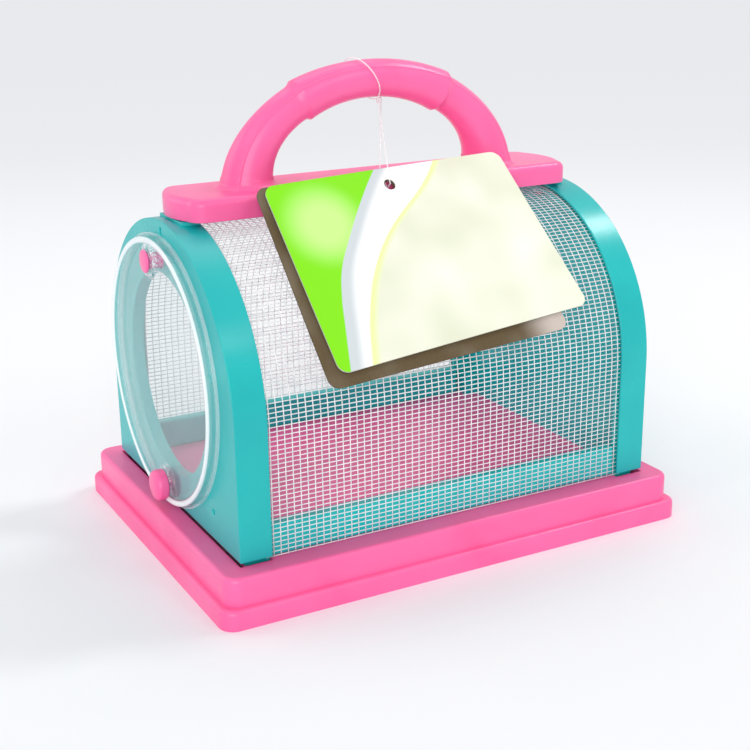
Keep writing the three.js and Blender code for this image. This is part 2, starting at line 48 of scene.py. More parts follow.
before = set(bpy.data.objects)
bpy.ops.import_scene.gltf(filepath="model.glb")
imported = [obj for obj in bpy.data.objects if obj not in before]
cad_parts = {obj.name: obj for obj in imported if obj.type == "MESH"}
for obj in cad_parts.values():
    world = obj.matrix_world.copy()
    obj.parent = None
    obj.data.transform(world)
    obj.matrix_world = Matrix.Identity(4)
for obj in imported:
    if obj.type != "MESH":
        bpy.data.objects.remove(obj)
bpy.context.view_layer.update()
MM = 0.001


def extent(node, axis, side):
    """One face of a node's box: side 0 is the lowest and 1 the highest."""
    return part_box(node)[side][axis]


def middle_height(node):
    return (extent(node, 2, 0) + extent(node, 2, 1)) / 2


NET_STRIPS = ["net_front_side", *[f"net_vault_{i}" for i in range(1, 6)], "net_back_side"]
TRAY_HALF_X = extent("base_tray", 0, 1)
TRAY_HALF_Y = extent("base_tray", 1, 1)
TRAY_TOP = extent("base_tray", 2, 1)
FRAME_END = extent("closed_end_frame", 0, 1)
FRAME_INNER = extent("closed_end_frame", 0, 0)
FRAME_RADIUS = extent("closed_end_frame", 1, 1)
PAD_TOP = extent("closed_end_frame", 2, 1)
PAD_HALF_Y = 9.4 * MM
CROWN = PAD_TOP - 0.4 * MM
SPRING = CROWN - FRAME_RADIUS
RIM_RADIUS = FRAME_RADIUS - 3.5 * MM
PLATE_INNER = FRAME_END - 4 * MM
FOOT_GAP = 1.0 * MM
BAR_BOTTOM = extent("carry_handle", 2, 0)
BAR_TOP = BAR_BOTTOM + 7 * MM
BAR_HALF_X = extent("carry_handle", 0, 1)
BAR_HALF_Y = extent("carry_handle", 1, 1)
BAR_EDGE = 2.4 * MM
GRIP_RADIUS = 6.1 * MM
DOOR_Z = middle_height("door_window")
DOOR_RADIUS = extent("door_window", 1, 1) - 1.1 * MM
PIVOT_Z = middle_height("door_pivot_pin")
KNOB_Z = middle_height("door_knob")
# How far a cutting or joining solid runs past the piece that it works on
OVER = 1 * MM


# Colours and materials


def linear(code):
    """An sRGB hex colour as a linear RGBA tuple."""
    values = [int(code[i : i + 2], 16) / 255 for i in (1, 3, 5)]
    return tuple(v / 12.92 if v <= 0.04045 else ((v + 0.055) / 1.055) ** 2.4 for v in values) + (1.0,)


WHITE = linear("#ffffff")
SMOOTH = {"interpolation_type": "SMOOTHSTEP"}
COLOURS = {"data_type": "RGBA"}


def add(tree, kind, **values):
    """Adds a node. A lower-case name is a setting, and any other, or _ and a number, is a socket.

    A socket takes a value, an output or a node, which gives the first of its outputs that is in use.
    From and To are the two ends of a range.
    """
    node = tree.nodes.new("ShaderNode" + kind)
    for key, value in values.items():
        if key[0].islower():
            setattr(node, key, value)
            continue
        if key in ("From", "To"):
            for end, bound in zip((" Min", " Max"), value):
                node.inputs[key + end].default_value = bound
            continue
        socket = node.inputs[int(key[1:]) if key[0] == "_" else key.replace("_", " ")]
        if isinstance(value, bpy.types.Node):
            value = next(output for output in value.outputs if output.enabled)
        if isinstance(value, bpy.types.NodeSocket):
            tree.links.new(value, socket)
        else:
            socket.default_value = value
    return node


# What the camera sees, in person or through clear plastic or a gloss
SEEN = ("Camera", "Glossy", "Transmission")


def any_ray(tree, *kinds):
    """1 for a ray of one of these kinds and 0 for any other."""
    path = add(tree, "LightPath")
    found = 0.0
    for kind in kinds:
        found = add(tree, "Math", operation="MAXIMUM", _0=found, _1=path.outputs[f"Is {kind} Ray"])
    return found


def lit_through(tree, share, passed):
    """A share of body that drops for light on its way through, so that a thin wall barely shades."""
    drop = add(tree, "MapRange", Value=any_ray(tree, "Shadow", "Diffuse"), To=(1.0, passed))
    return add(tree, "Math", operation="MULTIPLY", _0=share, _1=drop)


def moulded_polypropylene(tree, colour, deep_colour, shine):
    """Injection-moulded polypropylene: a soft gloss over a faintly uneven skin, with paler scuffs."""
    place = add(tree, "TexCoord").outputs["Object"]
    # Pigment drifts over some 35 mm as the melt fills the mould
    flow = add(tree, "TexNoise", Vector=place, Scale=1 / (35 * MM), Detail=3.0, Distortion=0.6)
    drift = add(tree, "MapRange", **SMOOTH, Value=flow, From=(0.35, 0.7))
    pigment = add(tree, "Mix", **COLOURS, _0=drift, _6=colour, _7=deep_colour)
    # Hairline scuffs, 0.4 mm wide and six times as long, in patches of 12 mm
    cloud = add(tree, "TexNoise", Vector=place, Scale=1 / (12 * MM))
    patches = add(tree, "MapRange", **SMOOTH, Value=cloud, From=(0.6, 0.8))
    stretched = add(tree, "Mapping", Vector=place, Scale=(1.0, 6.0, 6.0))
    hair = add(tree, "TexNoise", Vector=stretched, Scale=1 / (2.4 * MM), Detail=3.0)
    hair = add(tree, "MapRange", **SMOOTH, Value=hair, From=(0.6, 0.75))
    scuff = add(tree, "Math", operation="MULTIPLY", _0=patches, _1=hair)
    paler = add(tree, "MapRange", **SMOOTH, Value=scuff, To=(0.0, 0.1))
    pigment = add(tree, "Mix", **COLOURS, _0=paler, _6=pigment, _7=WHITE)
    # A mould skin 0.5 mm in grain over a 6 mm swell
    skin = add(tree, "TexNoise", Vector=place, Scale=1 / (0.5 * MM))
    swell = add(tree, "TexNoise", Vector=place, Scale=1 / (6 * MM), Detail=1.0)
    fine = add(tree, "Bump", Strength=0.05, Distance=0.05 * MM, Height=skin)
    bump = add(tree, "Bump", Strength=0.05, Distance=0.2 * MM, Height=swell, Normal=fine)
    even = add(tree, "MapRange", **SMOOTH, Value=flow, From=(0.3, 0.7), To=(shine, shine + 0.07))
    duller = add(tree, "MapRange", **SMOOTH, Value=scuff, To=(0.0, 0.12))
    rough = add(tree, "Math", _0=even, _1=duller)
    return add(tree, "BsdfPrincipled", Base_Color=pigment, Roughness=rough, IOR=1.49, Normal=bump)


def clear_polystyrene(tree, tint):
    """Moulded clear polystyrene: see-through and glossy, with painted highlights: a whitish share along the
    rim and flange and in glints in the bosses.
    """
    place = add(tree, "TexCoord").outputs["Object"]
    parts = add(tree, "SeparateXYZ", Vector=place)
    flat = add(tree, "CombineXYZ", Y=parts.outputs[1], Z=parts.outputs[2])
    from_axis, from_pivot, from_knob = [
        add(tree, "VectorMath", operation="DISTANCE", _0=flat, _1=(0.0, 0.0, z))
        for z in (DOOR_Z, PIVOT_Z, KNOB_Z)
    ]
    # Sink marks some 9 mm across bend the reflections a little
    swell = add(tree, "TexNoise", Vector=place, Scale=1 / (9 * MM), Detail=1.0)
    bump = add(tree, "Bump", Strength=0.15, Distance=0.2 * MM, Height=swell)
    # Handling leaves a faint haze in patches of 14 mm
    cloud = add(tree, "TexNoise", Vector=place, Scale=1 / (14 * MM), Detail=3.0)
    haze = add(tree, "MapRange", **SMOOTH, Value=cloud, From=(0.4, 0.75), To=(0.03, 0.08))
    # Painted highlight: a whitish share on the rim's rounded lip, 1.6 mm wide, and on the thin flange round
    # it
    inner = (DOOR_RADIUS - 2.3 * MM, DOOR_RADIUS - 1.6 * MM)
    across = add(tree, "MapRange", **SMOOTH, Value=from_axis, From=inner, To=(0.0, 0.85))
    front = (-FRAME_END - 3.4 * MM, -FRAME_END - 2.9 * MM)
    ahead = add(tree, "MapRange", **SMOOTH, Value=parts, From=front, To=(1.0, 0.0))
    painted_bead_highlight = add(tree, "Math", operation="MULTIPLY", _0=across, _1=ahead)
    outer = (DOOR_RADIUS + 0.5 * MM, DOOR_RADIUS + 1.1 * MM)
    flange = add(tree, "MapRange", **SMOOTH, Value=from_axis, From=outer, To=(0.0, 0.3))
    # Painted glints: whitish specks 1.1 mm across in the two bosses
    near = add(tree, "Math", operation="MINIMUM", _0=from_pivot, _1=from_knob)
    inside = add(tree, "MapRange", **SMOOTH, Value=near, From=(6.2 * MM, 6.8 * MM), To=(1.0, 0.0))
    painted_glint_noise = add(tree, "TexNoise", Vector=place, Scale=1 / (1.1 * MM), Distortion=1.5)
    painted_glint = add(tree, "MapRange", **SMOOTH, Value=painted_glint_noise, From=(0.5, 0.62), To=(0.05, 0.8))
    pale = add(tree, "Math", operation="MULTIPLY", _0=painted_glint, _1=inside)
    # The painted highlight share, at least an even 0.04 everywhere
    least = 0.04
    for other in (painted_bead_highlight, flange, least):
        pale = add(tree, "Math", operation="MAXIMUM", _0=pale, _1=other)
    # A wall reflects a twentieth of the light face on, and nearly all of it edge on
    facing = add(tree, "LayerWeight", Blend=0.5, Normal=bump).outputs["Facing"]
    steep = add(tree, "Math", operation="POWER", _0=facing, _1=5.0)
    mirror = add(tree, "MapRange", clamp=False, Value=steep, To=(0.045, 0.9))
    through = add(tree, "BsdfTransparent", Color=tint)
    gloss = add(tree, "BsdfGlossy", Roughness=haze, Normal=bump)
    wall = add(tree, "MixShader", _0=lit_through(tree, mirror, 0.05), _1=through, _2=gloss)
    # The whitish body, which shows where the highlight is painted
    polish = add(tree, "MapRange", **SMOOTH, Value=swell, To=(0.12, 0.2))
    body = add(tree, "BsdfPrincipled", Base_Color=linear("#f3f8fb"), Roughness=polish, IOR=1.55, Normal=bump)
    return add(tree, "MixShader", _0=lit_through(tree, pale, 0.3), _1=wall, _2=body)


def woven_monofilament(tree, colour):
    """White polyester monofilament: each strand a little translucent, with a soft sheen."""
    place = add(tree, "TexCoord").outputs["Object"]
    # Strands differ in tone over some 3 mm
    tone = add(tree, "TexNoise", Vector=place, Scale=1 / (3 * MM))
    tone = add(tree, "MapRange", **SMOOTH, Value=tone, From=(0.35, 0.7))
    white = add(tree, "Mix", **COLOURS, _0=tone, _6=colour, _7=linear("#e4e9ea"))
    sheen = {"Sheen_Weight": 0.7, "Sheen_Roughness": 0.4}
    body = add(tree, "BsdfPrincipled", Base_Color=white, Roughness=0.45, **sheen)
    soft = add(tree, "BsdfTranslucent", Color=white)
    strand = add(tree, "MixShader", _0=0.15, _1=body, _2=soft)
    # The strands let most of the light through, so that they barely shade what is behind them
    through = add(tree, "BsdfTransparent", Color=WHITE)
    return add(tree, "MixShader", _0=lit_through(tree, 0.8, 0.05), _1=through, _2=strand)


def zinc_plated_steel(tree):
    """Zinc-plated steel, stamped: bright, with fine spangles."""
    place = add(tree, "TexCoord").outputs["Object"]
    # Plating spangles 0.3 mm across
    grain = add(tree, "TexNoise", Vector=place, Scale=1 / (0.3 * MM))
    plating = add(tree, "Mix", **COLOURS, _0=grain, _6=linear("#c6c8cb"), _7=linear("#a6a9ae"))
    rough = add(tree, "MapRange", **SMOOTH, Value=grain, To=(0.22, 0.38))
    return add(tree, "BsdfPrincipled", Base_Color=plating, Roughness=rough, Metallic=1.0)


def nylon_filament(tree):
    """Clear extruded nylon line: pale and glossy, half see-through."""
    place = add(tree, "TexCoord").outputs["Object"]
    # Draw marks 0.8 mm long
    marks = add(tree, "TexNoise", Vector=place, Scale=1 / (0.8 * MM), Detail=1.0)
    pale = add(tree, "Mix", **COLOURS, _0=marks, _6=WHITE, _7=linear("#f3eef2"))
    shader = add(tree, "BsdfPrincipled", Base_Color=pale, Roughness=0.18, IOR=1.53)
    through = add(tree, "BsdfTransparent", Color=WHITE)
    return add(tree, "MixShader", _0=0.55, _1=shader, _2=through)


# The print on the front card, in millimetres from its middle: how far a line may reach, and, from the
# top down, the right edge of the green field and the left edge of the lime line
PRINT_REACH_X = 46.0
PRINT_REACH_Y = 33.0
PRINT_FIELD = [
    (-5.3, 31.5), (-12.2, 24.2), (-24.4, 9.5), (-31.0, 0.3), (-34.8, -8.2), (-38.2, -19.0), (-42.0, -31.7),
]
PRINT_LIME = [(18.0, 31.5), (11.2, 24.8), (-10.0, 9.1), (-20.4, -2.2), (-28.0, -14.8), (-33.4, -28.1)]


def past_line(tree, along, up, points, shift, soft):
    """0 left of a bent line and 1 right of it; the line is shifted to the right and its edge is soft."""
    height = add(tree, "MapRange", clamp=False, Value=up, From=(-PRINT_REACH_Y, PRINT_REACH_Y))
    bend = add(tree, "FloatCurve", Value=height)
    curve = bend.mapping.curves[0]
    places = [
        ((y + PRINT_REACH_Y) / (2 * PRINT_REACH_Y), (x + shift + PRINT_REACH_X) / (2 * PRINT_REACH_X))
        for x, y in reversed(points)
    ]
    curve.points[0].location = places[0]
    curve.points[1].location = places[-1]
    for place in places[1:-1]:
        curve.points.new(*place)
    bend.mapping.update()
    line = add(tree, "MapRange", clamp=False, Value=bend, To=(-PRINT_REACH_X, PRINT_REACH_X))
    off = add(tree, "Math", operation="SUBTRACT", _0=along, _1=line)
    return add(tree, "MapRange", **SMOOTH, Value=off, From=(-soft, soft))


def printed_card(tree, green, pale, cream):
    """Coated card, offset printed: a green field, a white band and a cream ground, under a low gloss."""
    flat = add(tree, "UVMap", uv_map="flat")
    parts = add(tree, "SeparateXYZ", Vector=flat)
    # The map's unit is a metre, measured from the card's middle
    along, up = [add(tree, "Math", operation="MULTIPLY", _0=parts.outputs[i], _1=1000.0) for i in (0, 1)]
    # A paler patch in the green field, 30 mm across, above its middle
    patch = add(tree, "VectorMath", operation="DISTANCE", _0=flat, _1=(-30 * MM, 16 * MM, 0.0))
    patch = add(tree, "MapRange", **SMOOTH, Value=patch, From=(5 * MM, 17 * MM), To=(0.85, 0.0))
    field = add(tree, "Mix", **COLOURS, _0=patch, _6=green, _7=pale)
    # The cream varies over some 24 mm
    cloud = add(tree, "TexNoise", Vector=flat, Scale=1 / (24 * MM), Detail=1.0)
    ground = add(tree, "Mix", **COLOURS, _0=cloud, _6=cream, _7=linear("#fafaf0"))
    lime_end = past_line(tree, along, up, PRINT_LIME, 2.2, 1.6)
    lime = add(tree, "Mix", **COLOURS, _0=lime_end, _6=linear("#e4f2a4"), _7=ground)
    shade_end = past_line(tree, along, up, PRINT_FIELD, 4.6, 2.4)
    band = add(tree, "Mix", **COLOURS, _0=shade_end, _6=linear("#c9d0d4"), _7=linear("#fafbfb"))
    past_band = past_line(tree, along, up, PRINT_LIME, 0.0, 0.5)
    right = add(tree, "Mix", **COLOURS, _0=past_band, _6=band, _7=lime)
    past_field = past_line(tree, along, up, PRINT_FIELD, 0.0, 0.25)
    ink = add(tree, "Mix", **COLOURS, _0=past_field, _6=field, _7=right)
    # Paper tooth, 0.3 mm
    tooth = add(tree, "TexNoise", Vector=flat, Scale=1 / (0.3 * MM))
    specks = add(tree, "MapRange", **SMOOTH, Value=tooth, From=(0.4, 0.8), To=(0.0, 0.05))
    ink = add(tree, "Mix", **COLOURS, _0=specks, _6=ink, _7=linear("#8f9488"))
    # The cut edge shows bare board
    rim = add(tree, "Attribute", attribute_name="rim").outputs["Fac"]
    ink = add(tree, "Mix", **COLOURS, _0=rim, _6=ink, _7=linear("#cfcdbf"))
    bump = add(tree, "Bump", Strength=0.05, Distance=0.05 * MM, Height=tooth)
    rough = add(tree, "MapRange", **SMOOTH, Value=tooth, To=(0.55, 0.65))
    return add(tree, "BsdfPrincipled", Base_Color=ink, Roughness=rough, IOR=1.33, Normal=bump)


def brown_board_with_painted_shade(tree, colour):
    """Uncoated grey-brown board, its colour darkened as painted shade for the shadow between the two leaves:
    fibres and flecks, quite matt.
    """
    flat = add(tree, "UVMap", uv_map="flat")
    # Fibres 0.25 mm wide and some 1 mm long
    drawn = add(tree, "Mapping", Vector=flat, Scale=(1.0, 4.0, 1.0))
    fibres = add(tree, "TexNoise", Vector=drawn, Scale=1 / (1 * MM), Detail=3.0)
    dark = add(tree, "MapRange", **SMOOTH, Value=fibres, From=(0.35, 0.7), To=(0.0, 0.5))
    board = add(tree, "Mix", **COLOURS, _0=dark, _6=colour, _7=linear("#4b3a24"))
    # Greyer clouds of 18 mm
    cloud = add(tree, "TexNoise", Vector=flat, Scale=1 / (18 * MM))
    grey = add(tree, "MapRange", **SMOOTH, Value=cloud, From=(0.4, 0.7), To=(0.0, 0.3))
    board = add(tree, "Mix", **COLOURS, _0=grey, _6=board, _7=linear("#8d8471"))
    # The right end, 14 mm of it, is paler
    parts = add(tree, "SeparateXYZ", Vector=flat)
    paler_right_end = add(tree, "MapRange", **SMOOTH, Value=parts, From=(24 * MM, 38 * MM), To=(0.0, 0.75))
    board = add(tree, "Mix", **COLOURS, _0=paler_right_end, _6=board, _7=linear("#d9cdc4"))
    bump = add(tree, "Bump", Strength=0.2, Distance=0.05 * MM, Height=fibres)
    rough = add(tree, "MapRange", **SMOOTH, Value=fibres, To=(0.75, 0.92))
    return add(tree, "BsdfPrincipled", Base_Color=board, Roughness=rough, Normal=bump)


def paper_sweep(tree, colour):
    """Matt white paper, smooth: its tone drifts over some 0.4 m."""
    place = add(tree, "TexCoord").outputs["Object"]
    tone = add(tree, "TexNoise", Vector=place, Scale=1 / 0.4)
    tone = add(tree, "MapRange", **SMOOTH, Value=tone, From=(0.3, 0.7), To=(0.0, 0.06))
    paper = add(tree, "Mix", **COLOURS, _0=tone, _6=colour, _7=WHITE)
    shader = add(tree, "BsdfPrincipled", Base_Color=paper, Roughness=0.9, Specular_IOR_Level=0.1)
    # Far off, the camera sees the plain pale backdrop of the photograph instead of the falling light
    far = add(tree, "VectorMath", operation="LENGTH", _0=place)
    far = add(tree, "MapRange", **SMOOTH, Value=far, From=(0.2, 1.2), To=(0.0, 0.9))
    share = add(tree, "Math", operation="MULTIPLY", _0=far, _1=any_ray(tree, *SEEN))
    backdrop = add(tree, "Emission", Color=linear("#ebecef"), Strength=1.0)
    return add(tree, "MixShader", _0=share, _1=shader, _2=backdrop)


def finish_of(slot):
    """The material of that slot, made the first time that a piece asks for it."""
    look = bpy.context.scene.cage_finishes
    name, shown, make, *values = {
        "pink_plastic": (
            "Pink polypropylene, injection moulded", look.pink, moulded_polypropylene,
            look.pink, look.pink_deep, 0.3,
        ),
        "teal_plastic": (
            "Teal polypropylene, injection moulded", look.teal, moulded_polypropylene,
            look.teal, look.teal_deep, 0.26,
        ),
        "clear_plastic": (
            "Clear polystyrene, injection moulded", (*look.clear[:3], 0.35), clear_polystyrene, look.clear,
        ),
        "white_net": ("White polyester monofilament, woven", look.net, woven_monofilament, look.net),
        "steel": ("Zinc-plated steel, stamped", linear("#b9bcc0"), zinc_plated_steel),
        "printed_card": (
            "Coated card, offset printed", linear("#f4f6e4"), printed_card,
            look.print_green, look.print_pale, look.print_cream,
        ),
        # The rear card's colour holds painted shade for the shadow between the leaves
        "grey_card": ("Brown board, uncoated", look.board, brown_board_with_painted_shade, look.board),
        "clear_filament": ("Clear nylon line, extruded", (0.9, 0.9, 0.92, 0.7), nylon_filament),
        "floor": ("Matt paper sweep", look.floor, paper_sweep, look.floor),
    }[slot]
    material = bpy.data.materials.get(name)
    if not material:
        material = bpy.data.materials.new(name)
        material.use_nodes = True
        material.diffuse_color = shown
        tree = material.node_tree
        tree.nodes.clear()
        add(tree, "OutputMaterial", Surface=make(tree, *values))
    return material


# Modelling


def verts_of(geom):
    return [part for part in geom if isinstance(part, bmesh.types.BMVert)]


def bake(piece):
    """Turns a piece's modifiers into its mesh."""
    graph = bpy.context.evaluated_depsgraph_get()
    mesh = bpy.data.meshes.new_from_object(piece.evaluated_get(graph))
    old = piece.data
    piece.modifiers.clear()
    piece.data = mesh
    bpy.data.meshes.remove(old)


def raw_piece(name, bm):
    """An object of a bmesh whose faces point outwards."""
    bmesh.ops.remove_doubles(bm, verts=bm.verts[:], dist=1e-7)
    bmesh.ops.recalc_face_normals(bm, faces=bm.faces[:])
    mesh = bpy.data.meshes.new(name)
    bm.to_mesh(mesh)
    bm.free()
    piece = bpy.data.objects.new(name, mesh)
    bpy.context.scene.collection.objects.link(piece)
    return piece


def take_mesh(piece):
    """A bmesh of a piece, which is removed."""
    mesh = piece.data
    bm = bmesh.new()
    bm.from_mesh(mesh)
    bpy.data.objects.remove(piece)
    bpy.data.meshes.remove(mesh)
    return bm


def combine(piece, bm, operation):
    """Applies one solid to a piece."""
    tool = raw_piece("tool", bm)
    step = piece.modifiers.new("combine", "BOOLEAN")
    step.operation = operation
    step.solver = "EXACT"
    step.object = tool
    bpy.context.view_layer.update()
    bake(piece)
    take_mesh(tool).free()


def cut(piece, bm):
    combine(piece, bm, "DIFFERENCE")


def join(piece, bm):
    combine(piece, bm, "UNION")


def outer_edge(edge):
    """Whether an edge of an end frame lies on its outside, where a hand or an eye meets it."""
    for vert in edge.verts:
        radius = hypot(vert.co.y, max(vert.co.z - SPRING, 0))
        if abs(vert.co.x) <= FRAME_END - 0.2 * MM and radius <= FRAME_RADIUS - 0.2 * MM:
            return False
    return True


def complete(piece, slot, body, nodes=(), edge=0.0, segments=3, angle=35.0, chosen=None):
    """Rounds a piece's edges, or only the chosen ones, and gives it its shading, finish and body."""
    mesh = piece.data
    bm = bmesh.new()
    bm.from_mesh(mesh)
    bmesh.ops.remove_doubles(bm, verts=bm.verts[:], dist=0.01 * MM)
    for face in bm.faces:
        face.smooth = True
    weights = bm.edges.layers.float.new("bevel_weight_edge")
    for seam in bm.edges:
        sharp = seam.calc_face_angle(0) > radians(angle)
        rounded = bool(edge) and sharp and (chosen is None or (seam.is_convex and chosen(seam)))
        seam[weights] = float(rounded)
        seam.smooth = rounded or not sharp
    bm.to_mesh(mesh)
    bm.free()
    if edge:
        rounding = piece.modifiers.new("edges", "BEVEL")
        rounding.width = edge
        rounding.segments = segments
        rounding.limit_method = "WEIGHT"
        rounding.use_clamp_overlap = chosen is None
    weighted = piece.modifiers.new("normals", "WEIGHTED_NORMAL")
    weighted.weight = 80
    weighted.keep_sharp = True
    bpy.context.view_layer.update()
    bake(piece)
    piece.data.materials.clear()
    piece.data.materials.append(finish_of(slot))
    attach(piece, body)
    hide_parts(*nodes)


def prism(bm, face, offset):
    """A closed solid from one face and its copy at an offset."""
    grown = bmesh.ops.extrude_face_region(bm, geom=[face])["geom"]
    bmesh.ops.translate(bm, verts=verts_of(grown), vec=Vector(offset))


def round_off(bm, geom, offset, segments, affect="EDGES", clamp=False):
    bmesh.ops.bevel(
        bm, geom=geom, affect=affect, offset=offset, segments=segments, profile=0.5, material=-1,
        clamp_overlap=clamp,
    )


def top_face(bm):
    return max(bm.faces, key=lambda face: face.calc_center_median().z)


def rounded_face(bm, half_x, half_y, corner, z, segments=8):
    """A level rectangle with round corners."""
    verts = [
        bmesh.ops.create_vert(bm, co=(x, y, z))["vert"][0]
        for x, y in ((half_x, half_y), (-half_x, half_y), (-half_x, -half_y), (half_x, -half_y))
    ]
    bmesh.ops.contextual_create(bm, geom=verts)
    round_off(bm, verts, corner, segments, affect="VERTICES")
    bm.faces.ensure_lookup_table()
    return bm.faces[0]


def vault_solid(radius, bottom, x0, x1):
    """A half round bar along X on upright sides."""
    bm = bmesh.new()
    first = bmesh.ops.create_vert(bm, co=(x0, radius, SPRING))["vert"][0]
    spun = bmesh.ops.spin(bm, geom=[first], cent=(x0, 0, SPRING), axis=(1, 0, 0), angle=pi, steps=144)
    feet = []
    for top in (first, verts_of(spun["geom_last"])[0]):
        foot = bmesh.ops.extrude_vert_indiv(bm, verts=[top])["verts"][0]
        foot.co.z = bottom
        feet.append(foot)
    bmesh.ops.contextual_create(bm, geom=feet)
    face = bmesh.ops.edgeloop_fill(bm, edges=bm.edges[:])["faces"][0]
    prism(bm, face, (x1 - x0, 0, 0))
    return bm


def box_solid(corner, opposite):
    """A box between any two opposite corners."""
    bm = bmesh.new()
    middle = (Vector(corner) + Vector(opposite)) / 2
    size = [abs(length) for length in Vector(opposite) - Vector(corner)]
    bmesh.ops.create_cube(bm, size=1.0, matrix=Matrix.Translation(middle) @ Matrix.Diagonal((*size, 1)))
    return bm


def disc(bm, radius, place, sides):
    """A filled circle at a place, and its vertices."""
    return bmesh.ops.create_circle(bm, cap_ends=True, segments=sides, radius=radius, matrix=place)["verts"]


def across_x(x, y, z):
    """A place at a point, turned to face along X."""
    return Matrix.Translation((x, y, z)) @ Matrix.Rotation(pi / 2, 4, "Y")


def axle_solid(radius, y, z, x0, x1, sides):
    """A round bar along X."""
    bm = bmesh.new()
    disc(bm, radius, across_x(x0, y, z), sides)
    prism(bm, bm.faces[:][0], (x1 - x0, 0, 0))
    return bm


def turned_solid(profile, z, steps):
    """A piece turned about X: (radius, distance ahead of the door end's face) points, in millimetres."""
    bm = bmesh.new()
    verts = []
    for radius, ahead in profile:
        point = (-FRAME_END - ahead * MM, 0, z + radius * MM)
        verts += bmesh.ops.create_vert(bm, co=point)["vert"]
    for one, two in zip(verts, verts[1:]):
        bmesh.ops.contextual_create(bm, geom=[one, two])
    outline = bm.verts[:] + bm.edges[:]
    bmesh.ops.spin(
        bm, geom=outline, cent=(0, 0, z), axis=(1, 0, 0), angle=2 * pi, steps=steps, use_merge=True,
    )
    bmesh.ops.remove_doubles(bm, verts=bm.verts[:], dist=1e-6)
    return bm


def frame_matrix(x, y, z, place):
    """The matrix with these three columns, at a place."""
    matrix = Matrix((x, y, z)).transposed().to_4x4()
    matrix.translation = place
    return matrix


def sweep(bm, frames, section):
    """Carries a closed section of points along frames, each a matrix; the ends are capped."""
    start = disc(bm, 1.0, Matrix(), len(section))
    for vert, point in zip(start, section):
        vert.co = frames[0] @ Vector(point)
    ring = list({edge for vert in start for edge in vert.link_edges if all(v in start for v in edge.verts)})
    for before, after in zip(frames, frames[1:]):
        grown = bmesh.ops.extrude_edge_only(bm, edges=ring)["geom"]
        verts = verts_of(grown)
        ring = [g for g in grown if isinstance(g, bmesh.types.BMEdge) and all(v in verts for v in g.verts)]
        bmesh.ops.transform(bm, matrix=after @ before.inverted(), verts=verts)
    bmesh.ops.edgeloop_fill(bm, edges=ring)


def repeat(bm, places):
    """Replaces what a bmesh holds by one copy of it at each place."""
    first = bm.verts[:] + bm.edges[:] + bm.faces[:]
    for place in places:
        copy = bmesh.ops.duplicate(bm, geom=first)["geom"]
        bmesh.ops.transform(bm, matrix=place, verts=verts_of(copy))
    bmesh.ops.delete(bm, geom=verts_of(first), context="VERTS")


# Tray


class CAGE_OT_tray(bpy.types.Operator):
    """Models the stepped tray, hollow underneath"""

    bl_idname = "cage.tray"
    bl_label = "Tray"

    def execute(self, context):
        edge = context.scene.cage_sizes.tray_edge
        corner = 5 * MM
        wall = 2.4 * MM
        roof = 1.5 * MM
        step = 2.25 * MM
        step_x = TRAY_HALF_X - step
        step_y = TRAY_HALF_Y - step
        step_z = 6.4 * MM
        bm = bmesh.new()
        prism(bm, rounded_face(bm, TRAY_HALF_X, TRAY_HALF_Y, corner, 0), (0, 0, step_z))
        top = top_face(bm)
        rim = top.edges[:]
        bmesh.ops.inset_region(bm, faces=[top], thickness=step + 0.4 * MM, use_even_offset=True)
        round_off(bm, rim, edge, 6, clamp=True)
        tray = raw_piece("tray", bm)
        upper = bmesh.new()
        prism(upper, rounded_face(upper, step_x, step_y, corner, OVER), (0, 0, TRAY_TOP - OVER))
        round_off(upper, top_face(upper).edges[:], edge, 6)
        join(tray, upper)
        hollow = bmesh.new()
        inner_corner = 3.8 * MM
        face = rounded_face(hollow, step_x - wall, step_y - wall, inner_corner, -OVER)
        prism(hollow, face, (0, 0, TRAY_TOP - roof))
        cut(tray, hollow)
        # Pockets under the frames' feet: a shallow one, and along its outer edge a narrow one that is
        # open to the hollow, so that the gap shows dark
        room = 0.1 * MM
        reach = FRAME_RADIUS + room
        above = TRAY_TOP + OVER
        for depth, width in ((1.4 * MM, 3.9 * MM), (4 * MM, 2.5 * MM)):
            below = TRAY_TOP - depth
            for side in (-1, 1):
                end = side * (FRAME_END + room)
                cut(tray, box_solid((side * (FRAME_END - width), -reach, below), (end, reach, above)))
                start = side * (FRAME_INNER - room)
                stop = side * (FRAME_END - 2 * MM)
                for turn in (-1, 1):
                    cut(tray, box_solid((start, turn * (reach - width), below), (stop, turn * reach, above)))
        complete(tray, "pink_plastic", "cage", ["base_tray"], edge=0.35 * MM, segments=2, angle=50)
        return {"FINISHED"}


# End frames and rails


